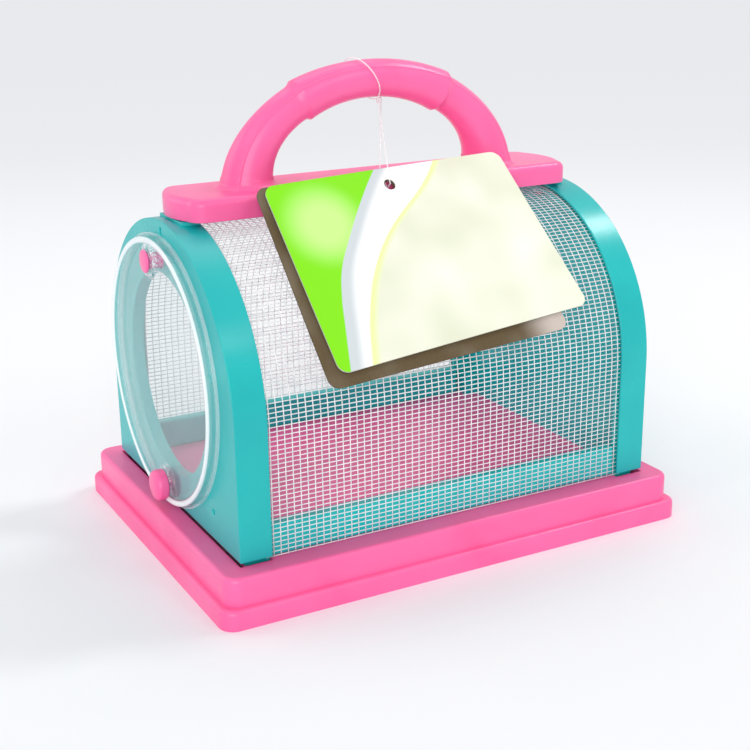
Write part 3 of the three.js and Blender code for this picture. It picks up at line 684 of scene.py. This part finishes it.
def end_frame(name, side):
    """A rim with a plate across its outer face, screw posts and a slot for the net; side is -1 or 1."""
    lift = TRAY_TOP - 1.3 * MM
    end = side * FRAME_END
    plate = side * PLATE_INNER
    start = side * FRAME_INNER
    before = side * (FRAME_INNER - OVER)
    piece = raw_piece(name, vault_solid(FRAME_RADIUS, lift, start, end))
    cut(piece, vault_solid(RIM_RADIUS, lift - OVER, before, plate))
    join(piece, box_solid((start, -PAD_HALF_Y, CROWN - 3 * MM), (plate, PAD_HALF_Y, PAD_TOP)))
    post_depth = 5.2 * MM
    post_width = 6.2 * MM
    post_height = 10 * MM
    bite = 0.5 * MM
    for turn in (-1, 1):
        post = box_solid(
            (side * (PLATE_INNER - post_depth), turn * (RIM_RADIUS - post_width), lift),
            (side * (PLATE_INNER + bite), turn * (RIM_RADIUS + bite), lift + post_height),
        )
        join(piece, post)
    # The net is clamped in a slot 1.5 mm wide and 2 mm deep
    slot_outer = FRAME_RADIUS - 0.7 * MM
    slot_inner = FRAME_RADIUS - 2.2 * MM
    slot_depth = 2 * MM
    slot = raw_piece("slot", vault_solid(slot_outer, lift - OVER, before, side * (FRAME_INNER + slot_depth)))
    core_ends = [side * (FRAME_INNER - 2 * OVER), side * (FRAME_INNER + 2 * slot_depth)]
    cut(slot, vault_solid(slot_inner, lift - 2 * OVER, *core_ends))
    cut(piece, take_mesh(slot))
    # The foot is stepped in all round, and the gap under the step shows as a dark line
    reach = FRAME_RADIUS + OVER
    inset = 2.6 * MM
    top = TRAY_TOP + FOOT_GAP
    below = lift - OVER
    beyond = side * (FRAME_END + OVER)
    cut(piece, box_solid((side * (FRAME_END - inset), -reach, below), (beyond, reach, top)))
    for turn in (-1, 1):
        cut(piece, box_solid((before, turn * (FRAME_RADIUS - inset), below), (end, turn * reach, top)))
    return piece


class CAGE_OT_end_frames(bpy.types.Operator):
    """Models the two end frames, the door end's with its round doorway"""

    bl_idname = "cage.end_frames"
    bl_label = "End frames"

    def execute(self, context):
        edge = context.scene.cage_sizes.frame_edge
        closed = end_frame("closed_end", 1)
        door_end = end_frame("door_end", -1)
        ahead = -FRAME_END - OVER
        behind = -PLATE_INNER + OVER
        doorway_radius = 33.4 * MM
        doorway_z = DOOR_Z - 1 * MM
        pin_hole_radius = 2.8 * MM
        cut(door_end, axle_solid(doorway_radius, 0, doorway_z, ahead, behind, 128))
        cut(door_end, axle_solid(pin_hole_radius, 0, PIVOT_Z, ahead, behind, 32))
        # A moulded notch above the door and a gate mark low on the front, both shallow
        notch_depth = 0.9 * MM
        gate_depth = 0.7 * MM
        gate_radius = 0.9 * MM
        notch = box_solid((ahead, -2.3 * MM, 105.4 * MM), (-FRAME_END + notch_depth, -0.9 * MM, 108.6 * MM))
        cut(door_end, notch)
        cut(door_end, axle_solid(gate_radius, -35 * MM, 25.8 * MM, ahead, -FRAME_END + gate_depth, 24))
        complete(closed, "teal_plastic", "cage", ["closed_end_frame"], edge=edge, chosen=outer_edge)
        complete(door_end, "teal_plastic", "cage", ["door_end_frame"], edge=edge, chosen=outer_edge)
        return {"FINISHED"}


class CAGE_OT_rails(bpy.types.Operator):
    """Models the two side rails behind the net's lower edges"""

    bl_idname = "cage.rails"
    bl_label = "Side rails"

    def execute(self, context):
        for name in ("front_side_rail", "back_side_rail"):
            rail = raw_piece(name.replace("_side_rail", "_rail"), box_solid(*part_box(name)))
            complete(rail, "teal_plastic", "cage", [name], edge=0.8 * MM)
        return {"FINISHED"}


# Net


def strand_section(width):
    """A flat six-sided strand, its width along Y and its depth along X of its frame."""
    half = width / 2
    depth = half * 0.3
    flat = half * 0.65
    left = [(0, half, 0), (-depth, flat, 0), (-depth, -flat, 0)]
    return left + [(-x, -y, 0) for x, y, z in left]


def hoop_frame(x, angle, radius, drop):
    """A frame across the hoop's route: X points outwards, Y along the cage and Z along the route."""
    outward = Vector((0, cos(angle), sin(angle)))
    along = Vector((1, 0, 0))
    place = Vector((x, radius * cos(angle), SPRING + radius * sin(angle) + drop))
    return frame_matrix(outward, along, outward.cross(along), place)


def outline_place(distance, side, radius, row_radius):
    """The y, z and turn about X of a row that lies at a distance round the net's outline."""
    arc = pi * radius
    if distance < side:
        return -row_radius, SPRING - side + distance, pi / 2
    if distance > side + arc:
        return row_radius, SPRING - (distance - side - arc), -pi / 2
    angle = pi - (distance - side) / radius
    return row_radius * cos(angle), SPRING + row_radius * sin(angle), angle - pi / 2


class CAGE_OT_net(bpy.types.Operator):
    """Models the net strand by strand, stretched over the vault and down both sides"""

    bl_idname = "cage.net"
    bl_label = "Net"

    def execute(self, context):
        sizes = context.scene.cage_sizes
        width = sizes.net_strand
        section = strand_section(width)
        reach = extent("net_vault_1", 0, 1)
        bottom = extent("net_front_side", 2, 0)
        radius = extent("net_back_side", 1, 1) - 0.3 * MM
        # Hoops lie on the rows, each this far from the net's middle
        layer = 0.08 * MM
        side = SPRING - bottom
        length = side * 2 + pi * radius

        # One hoop, up the front, over and down the back
        bm = bmesh.new()
        first_x = -reach + width / 2
        drops = [-side, -side / 2]
        turns = 72
        hoop = [hoop_frame(first_x, pi, radius + layer, drop) for drop in drops]
        hoop += [hoop_frame(first_x, pi - pi * i / turns, radius + layer, 0) for i in range(turns + 1)]
        hoop += [hoop_frame(first_x, 0, radius + layer, drop) for drop in reversed(drops)]
        sweep(bm, hoop, section)
        columns = round(reach * 2 / sizes.net_pitch_along)
        pitch = (reach * 2 - width) / columns
        repeat(bm, [Matrix.Translation((pitch * i, 0, 0)) for i in range(columns + 1)])
        net = raw_piece("net", bm)

        # One straight strand at each place round the outline
        bm = bmesh.new()
        up, across, along = Vector((0, 0, 1)), Vector((0, -1, 0)), Vector((1, 0, 0))
        sweep(bm, [frame_matrix(up, across, along, along * x) for x in (-reach, reach)], section)
        rows = round(length / sizes.net_pitch_round)
        places = []
        for i in range(rows + 1):
            distance = width / 2 + (length - width) * i / rows
            y, z, turn = outline_place(distance, side, radius, radius - layer)
            places.append(Matrix.Translation((0, y, z)) @ Matrix.Rotation(turn, 4, "X"))
        repeat(bm, places)
        straight = raw_piece("rows", bm)

        bm = take_mesh(straight)
        bm.from_mesh(net.data)
        for face in bm.faces:
            face.smooth = True
        bm.to_mesh(net.data)
        bm.free()
        net.data.materials.append(finish_of("white_net"))
        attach(net, "cage")
        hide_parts(*NET_STRIPS)
        return {"FINISHED"}


# Handle


def bar_solid():
    """The flat bar: straight sides, bowed ends and a rounded upper edge."""
    bm = bmesh.new()
    bow = 2.5 * MM
    corner = 5 * MM
    half_x = BAR_HALF_X - bow
    face = rounded_face(bm, half_x, BAR_HALF_Y, corner, BAR_BOTTOM, 10)
    # The straight stretch of each end, cut into sixteen and bowed
    ends = [
        edge for edge in face.edges
        if all(abs(abs(v.co.x) - half_x) < 1e-6 for v in edge.verts) and edge.calc_length() > corner
    ]
    made = bmesh.ops.bisect_edges(bm, edges=ends, cuts=15)["geom_split"]
    for vert in set(verts_of(made)):
        bulge = bow * (1 - (vert.co.y / (BAR_HALF_Y - corner)) ** 2)
        vert.co.x += bulge if vert.co.x > 0 else -bulge
    bm.faces.ensure_lookup_table()
    prism(bm, bm.faces[0], (0, 0, BAR_TOP - BAR_BOTTOM))
    round_off(bm, top_face(bm).edges[:], BAR_EDGE, 8)
    return bm


def handle_frames():
    """Frames along the handle's arch, sized by the local radius: flared feet, legs and a stepped grip."""
    half_span = 45 * MM
    rise = 31.6 * MM
    springing = BAR_TOP - 0.4 * MM
    grip_start = acos(27 / 45)
    step = 0.045
    # Radii in millimetres
    foot_radius = 8.5
    leg_taper = 2.5
    grip_radius = GRIP_RADIUS / MM
    grip_flare = 0.9
    fillet = 2.6
    fillet_steps = 8
    frames = []

    def put(angle, radius, z=None):
        """A frame on the arch at an angle, or upright above one of its ends at a height."""
        height = springing + rise * sin(angle) if z is None else z
        tangent = Vector((half_span * sin(angle), 0, rise * cos(angle))).normalized()
        if z is not None:
            tangent = Vector((0, 0, 1 if angle < pi / 2 else -1))
        across = Vector((0, -1, 0))
        place = Vector((-half_span * cos(angle), 0, height))
        frames.append(frame_matrix(across * radius * MM, across.cross(tangent) * radius * MM, tangent, place))

    # The foot's outline, from inside the bar up the fillet
    foot = [(foot_radius + fillet, BAR_TOP - 3 * MM), (foot_radius + fillet, BAR_TOP)]
    for i in range(1, fillet_steps + 1):
        turn = pi / 2 * i / fillet_steps
        foot.append((foot_radius + fillet * (1 - sin(turn)), BAR_TOP + fillet * (1 - cos(turn)) * MM))
    for radius, z in foot:
        put(0, radius, z)
    count = 120
    for angle in [pi * i / count for i in range(count + 1)]:
        if rise * sin(angle) < (fillet + 0.6) * MM:
            continue
        mirrored = min(angle, pi - angle)
        leg = foot_radius - leg_taper * sin(min(mirrored / grip_start, 1) * pi / 2) ** 1.2
        start = grip_start + step
        middle = abs((max(mirrored, start) - start) / (pi - start * 2) * 2 - 1)
        grip = grip_radius + grip_flare * min(middle, 1) ** 2
        blend = min(max((mirrored - grip_start) / step, 0), 1)
        blend = blend * blend * (3 - 2 * blend)
        put(angle, leg * (1 - blend) + grip * blend)
    for radius, z in reversed(foot):
        put(pi, radius, z)
    return frames


class CAGE_OT_handle(bpy.types.Operator):
    """Models the handle: a bar, two legs and a grip, moulded as one"""

    bl_idname = "cage.handle"
    bl_label = "Handle"

    def execute(self, context):
        handle = raw_piece("handle", bar_solid())
        # A fine rounded ridge runs along both sides, where the halves of the mould met
        sides = 60
        ridge = {-0.05: 0.0, -0.025: 0.7, 0.0: 1.0, 0.025: 0.7, 0.05: 0.0}
        heights = {2 * pi * i / sides: 0.0 for i in range(sides)}
        for line in (radians(39), pi - radians(39)):
            heights = {angle: height for angle, height in heights.items() if abs(angle - line) > 0.06}
            heights.update({line + offset: height for offset, height in ridge.items()})
        share = context.scene.cage_sizes.grip_ridge / GRIP_RADIUS
        section = [
            (cos(angle) * (1 + height * share), sin(angle) * (1 + height * share), 0)
            for angle, height in sorted(heights.items())
        ]
        bm = bmesh.new()
        sweep(bm, handle_frames(), section)
        join(handle, bm)
        complete(handle, "pink_plastic", "cage", ["carry_handle"])
        return {"FINISHED"}


# Door and its fittings, whose radii and distances ahead of the door end's face are in millimetres


def lobed_boss(radius, depth, z, start, end):
    """A round boss with six shallow lobes, from start to end."""
    lobes = 6
    bm = bmesh.new()
    for vert in disc(bm, radius * MM, across_x(-FRAME_END - start * MM, 0, z), lobes * 12):
        angle = atan2(vert.co.z - z, vert.co.y)
        scale = 1 - depth / radius * (0.5 - 0.5 * cos(lobes * angle))
        vert.co.y *= scale
        vert.co.z = z + (vert.co.z - z) * scale
    prism(bm, bm.faces[:][0], (-(end - start) * MM, 0, 0))
    return bm


class CAGE_OT_door(bpy.types.Operator):
    """Models the clear door: a shallow dish with a rim, a flange and two lobed bosses"""

    bl_idname = "cage.door"
    bl_label = "Door"

    def execute(self, context):
        r = DOOR_RADIUS / MM
        profile = [
            (0, 1.5), (r - 1.9, 1.5), (r - 1.9, 0.3), (r + 1.1, 0.3), (r + 1.1, 1.3), (r, 1.3), (r, 3.3),
            (r - 0.2, 3.7), (r - 0.7, 3.9), (r - 1.4, 3.8), (r - 2.1, 3.4), (r - 2.5, 3.1), (0, 3.1),
        ]
        door = raw_piece("door", turned_solid(profile, DOOR_Z, 128))
        join(door, lobed_boss(5.6, 0.6, PIVOT_Z, 2.3, 4.4))
        join(door, lobed_boss(6.2, 0.7, KNOB_Z, 1.8, 3.1))
        for radius, z in ((2.8 * MM, PIVOT_Z), (2.3 * MM, KNOB_Z)):
            cut(door, axle_solid(radius, 0, z, -FRAME_END - 6 * MM, -FRAME_END + OVER, 32))
        complete(door, "clear_plastic", "door", ["door_window"], edge=0.18 * MM, segments=2, angle=40)
        return {"FINISHED"}


class CAGE_OT_fittings(bpy.types.Operator):
    """Models the pivot pin, its collar and the knob"""

    bl_idname = "cage.fittings"
    bl_label = "Pin, collar and knob"

    def execute(self, context):
        pin = [
            (0, -6.6), (2.1, -6.6), (2.5, -6.2), (2.5, 4.8), (3.45, 4.8), (3.75, 5.0), (3.73, 5.3),
            (3.45, 5.6), (2.4, 5.8), (0, 5.85),
        ]
        pin = raw_piece("pivot_pin", turned_solid(pin, PIVOT_Z, 48))
        complete(pin, "pink_plastic", "cage", ["door_pivot_pin"], edge=0.1 * MM, segments=2, angle=50)
        collar = [(2.8, -6.0), (4.3, -6.0), (4.3, -4.3), (2.8, -4.3), (2.8, -6.0)]
        collar = raw_piece("pin_collar", turned_solid(collar, PIVOT_Z, 48))
        complete(collar, "pink_plastic", "cage", ["pivot_collar"], edge=0.25 * MM)
        knob = [
            (0, 1.2), (2, 1.2), (2, 3.15), (4.7, 3.15), (5.1, 3.6), (5.15, 5.6), (5.0, 6.3),
            (4.55, 6.9), (3.7, 7.3), (2.4, 7.53), (0, 7.6),
        ]
        knob = raw_piece("knob", turned_solid(knob, KNOB_Z, 64))
        complete(knob, "pink_plastic", "door", ["door_knob"], edge=0.12 * MM, segments=2, angle=50)
        return {"FINISHED"}


class CAGE_OT_screws(bpy.types.Operator):
    """Gives the six screws their finish"""

    bl_idname = "cage.screws"
    bl_label = "Screws"

    def execute(self, context):
        names = [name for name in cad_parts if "_screw_" in name]
        if len(names) != 6:
            raise RuntimeError("the frame holds six screws")
        for name in names:
            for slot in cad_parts[name].material_slots:
                slot.material = finish_of("steel")
        return {"FINISHED"}


# Hang tag, which leans on the net, with its upper part over the bar's edge


EDGE_Y = -(BAR_HALF_Y - BAR_EDGE)
EDGE_Z = BAR_TOP - BAR_EDGE
NET_OUTER = FRAME_RADIUS - 1 * MM
EDGE_ROOM = 5 * MM
TAG_OUT = NET_OUTER + 1.9 * MM
TAG_LEAN = atan2(-EDGE_Y, EDGE_Z - SPRING) + acos((TAG_OUT - EDGE_ROOM) / hypot(EDGE_Y, EDGE_Z - SPRING))
TAG_NORMAL = Vector((0, -sin(TAG_LEAN), cos(TAG_LEAN)))
TAG_DOWN = Vector((0, -cos(TAG_LEAN), -sin(TAG_LEAN)))
TAG_FOOT = Vector((0, 0, SPRING)) + TAG_NORMAL * TAG_OUT
TAG_TWIST = 1.56
HOLE_X = -4.4 * MM
HOLE_FALL = -31.5 * MM
CARD_THICKNESS = 0.5 * MM


def on_tag(x, fall, out):
    """A point of the tag: along X, down its slope and out from its rear face, on its gentle twist."""
    lift = out + TAG_TWIST * x * (fall + 8 * MM)
    return TAG_FOOT + TAG_DOWN * fall + TAG_NORMAL * lift + Vector((x, 0, 0))


def leaf(name, slot, node, width, height, shift, fall, turn, out):
    """A card leaf with round corners and a punched hole, laid on the tag's twisted plane."""
    bm = bmesh.new()
    corner = 3.5 * MM
    prism(bm, rounded_face(bm, width / 2, height / 2, corner, 0, 10), (0, 0, CARD_THICKNESS))
    card = raw_piece(name, bm)
    across = HOLE_X - shift
    up = fall - HOLE_FALL
    hole = bmesh.new()
    hole_radius = 2 * MM
    place = (across * cos(turn) + up * sin(turn), up * cos(turn) - across * sin(turn), -OVER)
    disc(hole, hole_radius, Matrix.Translation(place), 40)
    prism(hole, hole.faces[:][0], (0, 0, 2 * OVER + 1 * MM))
    cut(card, hole)
    # Cuts both ways let the flat card take the twist
    bm = bmesh.new()
    bm.from_mesh(card.data)
    cuts = 14
    for i in range(1, cuts):
        for normal, half in ((Vector((1, 0, 0)), width / 2), (Vector((0, 1, 0)), height / 2)):
            at = normal * (half * (2 * i / cuts - 1))
            everything = bm.verts[:] + bm.edges[:] + bm.faces[:]
            bmesh.ops.bisect_plane(bm, geom=everything, dist=1e-7, plane_co=at, plane_no=normal)
    layer = bm.loops.layers.uv.new("flat")
    rim = bm.faces.layers.float.new("rim")
    bm.normal_update()
    for face in bm.faces:
        face[rim] = 0.0 if abs(face.normal.z) > 0.5 else 1.0
        for loop in face.loops:
            loop[layer].uv = loop.vert.co.xy
    turned = Matrix.Rotation(turn, 3, "Z")
    for vert in bm.verts:
        point = turned @ vert.co
        vert.co = on_tag(shift + point.x, fall - point.y, out + point.z)
    bm.to_mesh(card.data)
    bm.free()
    complete(card, slot, "tag", [node])


def make_loop():
    """The filament: a ring round the grip, knotted below it, whose two strands go through the hole."""
    line = 0.25 * MM
    ring = GRIP_RADIUS + 0.5 * MM + line
    centre = BAR_TOP + 31.2 * MM
    pinch = radians(239)
    steps = 48
    route = []
    for i in range(steps + 1):
        share = i / steps
        angle = pinch - share * 2 * pi
        x = (-2.9 + 4.15 * cos(share * 2 * pi) + 1.2 * (share - 0.5)) * MM
        route.append(Vector((x, ring * cos(angle), centre + ring * sin(angle))))
    # Down behind the card, through its hole and up in front of it
    top = HOLE_FALL - 1 * MM
    room = 0.5 * MM + line
    ahead = 1.6 * MM + room
    behind = [(top - 6 * MM, -room), (top, -room), (HOLE_FALL, line - room)]
    front = [(HOLE_FALL, ahead - line), (top, ahead)]
    route += [on_tag(HOLE_X, fall, out) for fall, out in behind + front]
    # The knot: three turns round both strands where they leave the grip
    middle = (route[0] + route[steps] + route[steps - 1] + route[1]) / 4 - Vector((0, 0, 1.2 * MM))
    turns = 36
    knot = []
    for i in range(turns + 1):
        angle = 2 * pi * i / 12
        wide = (0.55 + 0.2 * sin(pi * i / turns)) * MM
        knot.append(middle + Vector((wide * cos(angle), wide * sin(angle), (0.9 - 1.8 * i / turns) * MM)))
    curve = bpy.data.curves.new("tag_line", "CURVE")
    curve.dimensions = "3D"
    curve.bevel_depth = line
    curve.bevel_resolution = 3
    for places, closed in ((route, True), (knot, False)):
        spline = curve.splines.new("POLY")
        spline.points.add(len(places) - 1)
        for point, place in zip(spline.points, places):
            point.co = (*place, 1)
        spline.use_cyclic_u = closed
    curve.materials.append(finish_of("clear_filament"))
    loop = bpy.data.objects.new("tag_line", curve)
    bpy.context.scene.collection.objects.link(loop)
    return loop


class CAGE_OT_tag(bpy.types.Operator):
    """Models the hang tag's two leaves and the loop that ties them to the grip"""

    bl_idname = "cage.tag"
    bl_label = "Hang tag"

    def execute(self, context):
        leaf(
            "rear_card", "grey_card", "tag_rear_leaf", width=84.35 * MM, height=67.8 * MM,
            shift=-6.85 * MM, fall=-3 * MM, turn=radians(3.2), out=0,
        )
        leaf(
            "front_card", "printed_card", "tag_front_leaf", width=90.65 * MM, height=63.8 * MM,
            shift=-0.65 * MM, fall=-6.05 * MM, turn=radians(4.66), out=1.1 * MM,
        )
        loop = make_loop()
        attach(loop, "tag")
        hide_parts("tag_loop")
        return {"FINISHED"}


# Stage


def area_lamp(name, place, size, power):
    """A soft white rectangular lamp that faces the cage's middle."""
    lamp = bpy.data.lights.new(name, "AREA")
    lamp.shape = "RECTANGLE"
    lamp.size, lamp.size_y = size
    lamp.energy = power
    stand = bpy.data.objects.new(name, lamp)
    stand.location = place
    middle = Vector((0, 0, 0.07))
    stand.rotation_euler = (middle - Vector(place)).to_track_quat("-Z", "Y").to_euler()
    bpy.context.scene.collection.objects.link(stand)


class CAGE_OT_stage(bpy.types.Operator):
    """Sets the floor, the lamps, the pale surroundings and the camera"""

    bl_idname = "cage.stage"
    bl_label = "Stage"

    def execute(self, context):
        scene = context.scene
        look = scene.cage_finishes
        bm = bmesh.new()
        bmesh.ops.create_grid(bm, x_segments=1, y_segments=1, size=15.0)
        floor = raw_piece("floor", bm)
        floor.data.materials.append(finish_of("floor"))

        world = bpy.data.worlds.new("Studio")
        scene.world = world
        world.use_nodes = True
        tree = world.node_tree
        tree.nodes.clear()
        seen = add(tree, "Background", Color=linear("#ebecee"), Strength=1.0)
        light = add(tree, "Background", Color=WHITE, Strength=look.sky)
        mixed = add(tree, "MixShader", _0=any_ray(tree, *SEEN), _1=light, _2=seen)
        add(tree, "OutputWorld", Surface=mixed)

        area_lamp("key", (0.80, -0.03, 1.05), (0.24, 0.24), look.key)
        area_lamp("front", (0.36, -0.85, 0.86), (0.2, 0.2), look.front)
        area_lamp("side", (-1.1, -0.62, 0.55), (0.16, 0.9), look.side)
        area_lamp("top", (0.1, 0.45, 1.1), (0.9, 0.5), look.top)
        area_lamp("back", (-0.85, 0.7, 0.5), (0.8, 0.6), look.back)
        area_lamp("streak", (-0.83, -0.11, 1.16), (0.08, 0.16), look.streak)
        sun = bpy.data.lights.new("sun", "SUN")
        sun.energy = look.sun
        sun.angle = radians(40)
        stand = bpy.data.objects.new("sun", sun)
        stand.rotation_euler = Vector((-0.5, -0.8, 0.33)).to_track_quat("Z", "Y").to_euler()
        scene.collection.objects.link(stand)

        # The photograph's viewing angle: the camera's place, the way it looks and its slight roll
        camera = bpy.data.cameras.new("camera")
        camera.lens = 64.466
        camera.sensor_width = 36
        camera.clip_start = 0.01
        camera.clip_end = 100
        place = Vector((-0.21148, -0.39277, 0.19404))
        yaw, pitch, roll = radians(28.343), radians(18.168), radians(0.682)
        ahead = Vector((sin(yaw) * cos(pitch), cos(yaw) * cos(pitch), -sin(pitch)))
        right = Vector((cos(yaw), -sin(yaw), 0))
        below = ahead.cross(right)
        tilted_right = right * cos(roll) + below * sin(roll)
        tilted_below = below * cos(roll) - right * sin(roll)
        view = bpy.data.objects.new("camera", camera)
        view.matrix_world = frame_matrix(tilted_right, -tilted_below, -ahead, place)
        scene.collection.objects.link(view)
        scene.camera = view
        scene.view_settings.view_transform = "Standard"
        return {"FINISHED"}


# Settings


def length_setting(name, words, millimetres):
    return bpy.props.FloatProperty(
        name=name, description=words, default=millimetres * MM, min=0.0, unit="LENGTH", precision=5,
    )


def colour_setting(name, words, code):
    return bpy.props.FloatVectorProperty(
        name=name, description=words, default=linear(code), size=4, min=0.0, max=1.0, subtype="COLOR",
    )


def power_setting(name, words, value):
    return bpy.props.FloatProperty(name=name, description=words, default=value, min=0.0)


class CageSizes(bpy.types.PropertyGroup):
    tray_edge: length_setting("Tray edge", "Rounding of the tray's two upper edges", 1.6)
    frame_edge: length_setting("Frame edge", "Rounding of the end frames' outer edges", 0.3)
    net_pitch_along: length_setting("Net pitch along", "From hoop to hoop along the cage", 2.42)
    net_pitch_round: length_setting("Net pitch round", "From strand to strand round the vault", 1.47)
    net_strand: length_setting("Net strand", "Width of a strand of the net", 0.36)
    grip_ridge: length_setting("Grip ridge", "Height of the parting ridge along the handle", 0.22)


class CageFinishes(bpy.types.PropertyGroup):
    pink: colour_setting("Pink", "Tray, handle, pin and knob", "#f968a5")
    pink_deep: colour_setting("Deep pink", "Where the pink pigment gathers", "#f55f9c")
    teal: colour_setting("Teal", "End frames and rails", "#08b5b4")
    teal_deep: colour_setting("Deep teal", "Where the teal pigment gathers", "#04adae")
    clear: colour_setting("Clear", "Tint of the clear door", "#f8fcfc")
    net: colour_setting("Net", "Strands of the net", "#fbfcfc")
    # The rear card's own grey-brown, darkened as painted shade for the shadow between the leaves
    board: colour_setting("Board", "Rear card", "#5c4c30")
    print_green: colour_setting("Print green", "Field at the card's left", "#80df06")
    print_pale: colour_setting("Print pale green", "Patch in the green field", "#cdf994")
    print_cream: colour_setting("Print cream", "Ground of the card", "#ccd1b0")
    floor: colour_setting("Floor", "Paper sweep", "#f3f4f7")
    sky: power_setting("Sky", "Even light from all round", 0.55)
    sun: power_setting("Sun", "Broad light from the camera's side and a little above", 1.5)
    key: power_setting("Key lamp", "Small lamp to the right and above", 3.3)
    front: power_setting("Front lamp", "Small lamp in front, to the right and above", 0.9)
    side: power_setting("Side lamp", "Tall soft lamp in front of the door end", 0.4)
    top: power_setting("Top lamp", "Soft lamp above and behind", 2.0)
    back: power_setting("Back lamp", "Soft lamp behind, on the door end's side", 2.0)
    streak: power_setting("Streak lamp", "Small lamp above the door end", 0.6)


OPERATORS = [
    CAGE_OT_stage, CAGE_OT_tray, CAGE_OT_end_frames, CAGE_OT_rails, CAGE_OT_net, CAGE_OT_handle, CAGE_OT_door,
    CAGE_OT_fittings, CAGE_OT_screws, CAGE_OT_tag,
]


class CAGE_PT_panel(bpy.types.Panel):
    """Lists the cage's pieces and settings"""

    bl_label = "Insect rearing cage"
    bl_idname = "CAGE_PT_panel"
    bl_space_type = "VIEW_3D"
    bl_region_type = "UI"
    bl_category = "Cage"

    def draw(self, context):
        for group in (context.scene.cage_sizes, context.scene.cage_finishes):
            box = self.layout.box()
            for key in group.__annotations__:
                box.prop(group, key)
        for operator in OPERATORS:
            self.layout.operator(operator.bl_idname)


CLASSES = [CageSizes, CageFinishes, *OPERATORS, CAGE_PT_panel]


def register():
    for cls in CLASSES:
        bpy.utils.register_class(cls)
    bpy.types.Scene.cage_sizes = bpy.props.PointerProperty(type=CageSizes)
    bpy.types.Scene.cage_finishes = bpy.props.PointerProperty(type=CageFinishes)


def unregister():
    del bpy.types.Scene.cage_finishes
    del bpy.types.Scene.cage_sizes
    for cls in reversed(CLASSES):
        bpy.utils.unregister_class(cls)


def main():
    register()
    for operator in OPERATORS:
        group, name = operator.bl_idname.split(".")
        getattr(getattr(bpy.ops, group), name)()


if __name__ == "__main__":
    main()
